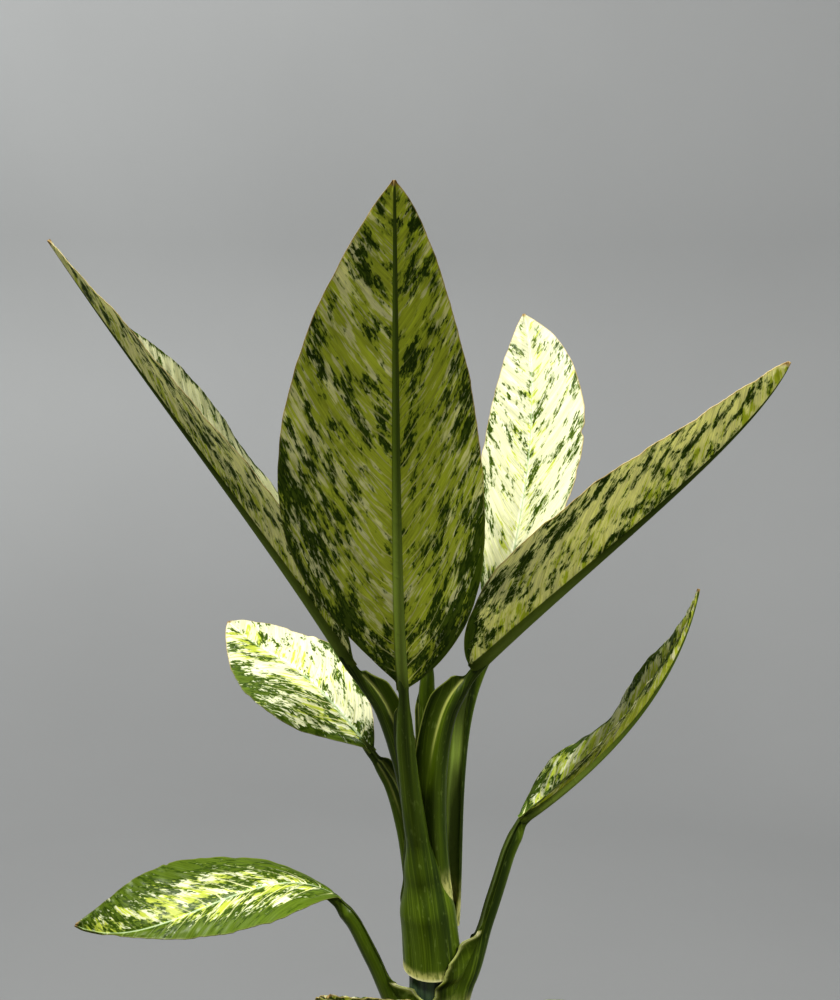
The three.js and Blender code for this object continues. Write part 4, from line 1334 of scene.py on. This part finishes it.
# ---------------------------------------------------------------- the steps
class PLANT_OT_stage(bpy.types.Operator):
    """Make the camera, the lights, and the floor that rises into the wall"""

    bl_idname = "plant.stage"
    bl_label = "Stage"

    def execute(self, context):
        scene = context.scene
        stage = scene.plant_stage
        floor = new_object("floor_and_wall", *stage_points(), None, board_material(stage))

        camera = link("camera", bpy.data.cameras.new("camera"))
        camera.data.lens = CAMERA_LENS
        camera.data.sensor_width = SENSOR
        camera.location = CAMERA_PLACE
        camera.rotation_euler = (math.radians(90 - CAMERA_PITCH), 0, 0)
        bpy.context.scene.camera = camera

        add_light("key", "AREA", KEY_PLACE, KEY_TARGET, stage.key_power, KEY_COLOUR, size=AREA_SIZE)
        add_light(
            "wall_light", "AREA", WALL_LIGHT_PLACE, WALL_LIGHT_TARGET, stage.wall_power, WHITE,
            size=AREA_SIZE,
        )
        add_light(
            "spot", "SPOT", SPOT_PLACE, SPOT_TARGET, stage.spot_power, WHITE,
            spot_size=math.radians(SPOT_ANGLE), spot_blend=1.0, shadow_soft_size=SPOT_SOFTNESS,
        )

        scene.world = bpy.data.worlds.new("soft_studio")
        scene.world.use_nodes = True
        make = Nodes(scene.world.node_tree)
        glow = make.put("ShaderNodeBackground", (FILL_COLOUR, stage.fill))
        make.put("ShaderNodeOutputWorld", (glow,))
        scene.view_settings.view_transform = "Standard"
        scene.view_settings.look = "Medium High Contrast"
        return {"FINISHED"}


class PLANT_OT_pot(bpy.types.Operator):
    """Make the clay pot with its rim and drain holes"""

    bl_idname = "plant.pot"
    bl_label = "Pot"

    def execute(self, context):
        points, faces = turned(pot_profile(), POT_SIDES, throwing_marks)
        pot = new_object("clay_pot", points, faces, None, clay_material(context.scene.plant_pot))
        drills = bmesh.new()
        radius = DRAIN_RADIUS * MM
        for hole in range(DRAIN_HOLES):
            made = bmesh.ops.create_cone(
                drills, cap_ends=True, segments=DRILL_SIDES, radius1=radius, radius2=radius,
                depth=4 * POT_FLOOR * MM,
            )
            angle = (hole + 0.5) / DRAIN_HOLES * 2 * math.pi
            shift = [DRAIN_CIRCLE_RADIUS * MM * turn for turn in (math.cos(angle), math.sin(angle), 0)]
            bmesh.ops.translate(drills, verts=made["verts"], vec=shift)
        drill = link("drills", bpy.data.meshes.new("drills"))
        drills.to_mesh(drill.data)
        drills.free()
        cut = pot.modifiers.new("drain_holes", "BOOLEAN")
        cut.object = drill
        cut.solver = "EXACT"
        plain_mesh(pot)
        weld(pot)
        bpy.data.objects.remove(drill)
        finish_piece(pot, "clay", "pot")
        return {"FINISHED"}


class PLANT_OT_soil(bpy.types.Operator):
    """Make the soil with its peat crumbs, bark chips and perlite"""

    bl_idname = "plant.soil"
    bl_label = "Soil"

    def execute(self, context):
        pot = context.scene.plant_pot
        peat = earth_material("peat_damp", "#231811", pot.peat, 3, 0.95)
        points, faces = soil_points()
        finish_piece(new_object("soil_bed", points, faces, None, peat), "soil", "soil")

        bark = earth_material("pine_bark_chipped", "#3b2415", "#7a5232", 2, 0.9)
        stone = earth_material("perlite_expanded", "#c4bfb2", "#e9e5da", 1, 0.95)
        # name, stretch of the shape, count, least spacing, least and largest size, material
        kinds = (
            ("peat_crumbs", (1, 0.8, 0.7), pot.crumbs, 0.9, 1.4, 3.6, peat),
            ("bark_chips", (1.6, 0.8, 0.3), pot.chips, 5, 4, 8, bark),
            ("perlite_grains", (1, 0.9, 0.8), pot.perlite, 3.5, 1.6, 3.4, stone),
        )
        tree = scatter_tree()
        area = math.pi * (inner_radius(SOIL_TOP) * MM) ** 2
        for place, (name, stretch, count, spacing, least, largest, material) in enumerate(kinds):
            shape = crumb_shape(name + "_shape", stretch, pot.seed + place)
            grains = new_object(name, points, faces)
            add_nodes_modifier(grains, tree, {
                "Shape": shape,
                "Count density": count / area * CROWDING,
                "Least spacing": spacing * MM,
                "Least size": least * MM,
                "Largest size": largest * MM,
                "Seed": pot.seed + place,
                "Material": material,
            })
            plain_mesh(grains)
            bpy.data.objects.remove(shape)
            finish_piece(grains, "soil")
        return {"FINISHED"}


class PLANT_OT_cane(bpy.types.Operator):
    """Make the cane with its leaf scars"""

    bl_idname = "plant.cane"
    bl_label = "Cane"

    def execute(self, context):
        points, faces = turned(cane_profile(), CANE_SIDES, cane_uneven)
        finish_piece(new_object("cane_bark", points, faces, None, cane_material()), "cane", "cane")
        return {"FINISHED"}


class PLANT_OT_stalks(bpy.types.Operator):
    """Make the ten leaf stalks with their clasping sheaths"""

    bl_idname = "plant.stalks"
    bl_label = "Stalks"

    def execute(self, context):
        material = stalk_material(context.scene.plant)
        for leaf in LEAVES:
            stalk = thick_sheet(f"leaf_stalk_{leaf['name']}", *stalk_points(leaf), material)
            finish_piece(stalk, "stalk", f"stalk_{leaf['name']}")
        return {"FINISHED"}


class PLANT_OT_blades(bpy.types.Operator):
    """Make the ten marbled blades"""

    bl_idname = "plant.blades"
    bl_label = "Blades"

    def execute(self, context):
        plant = context.scene.plant
        material = leaf_material(plant)
        tree = relief_tree()
        values = {"Vein spacing": plant.vein_spacing, "Quilting": plant.quilting, "Material": material}
        for leaf in LEAVES:
            sheet = blade_points(leaf, plant.thickness / MM)
            blade = thick_sheet(f"leaf_blade_{leaf['name']}", *sheet, material)
            add_nodes_modifier(blade, tree, values)
            plain_mesh(blade)
            finish_piece(blade, "blade", f"blade_{leaf['name']}")
        return {"FINISHED"}


class PLANT_PT_panel(bpy.types.Panel):
    """The plant's steps and settings"""

    bl_idname = "PLANT_PT_panel"
    bl_label = "Potted Dieffenbachia"
    bl_space_type = "VIEW_3D"
    bl_region_type = "UI"
    bl_category = "Plant"

    def draw(self, context):
        for operator in OPERATORS:
            self.layout.operator(operator.bl_idname)
        for settings in (context.scene.plant, context.scene.plant_pot, context.scene.plant_stage):
            box = self.layout.box()
            for name in type(settings).__annotations__:
                box.prop(settings, name)


OPERATORS = (PLANT_OT_stage, PLANT_OT_pot, PLANT_OT_soil, PLANT_OT_cane, PLANT_OT_stalks, PLANT_OT_blades)
CLASSES = (PlantSettings, PotSettings, StageSettings, *OPERATORS, PLANT_PT_panel)


def register():
    for kind in CLASSES:
        bpy.utils.register_class(kind)
    bpy.types.Scene.plant = PointerProperty(type=PlantSettings)
    bpy.types.Scene.plant_pot = PointerProperty(type=PotSettings)
    bpy.types.Scene.plant_stage = PointerProperty(type=StageSettings)


def unregister():
    del bpy.types.Scene.plant_stage
    del bpy.types.Scene.plant_pot
    del bpy.types.Scene.plant
    for kind in reversed(CLASSES):
        bpy.utils.unregister_class(kind)


def main():
    register()
    bpy.ops.plant.stage()
    bpy.ops.plant.pot()
    bpy.ops.plant.soil()
    bpy.ops.plant.cane()
    bpy.ops.plant.stalks()
    bpy.ops.plant.blades()


if __name__ == "__main__":
    main()
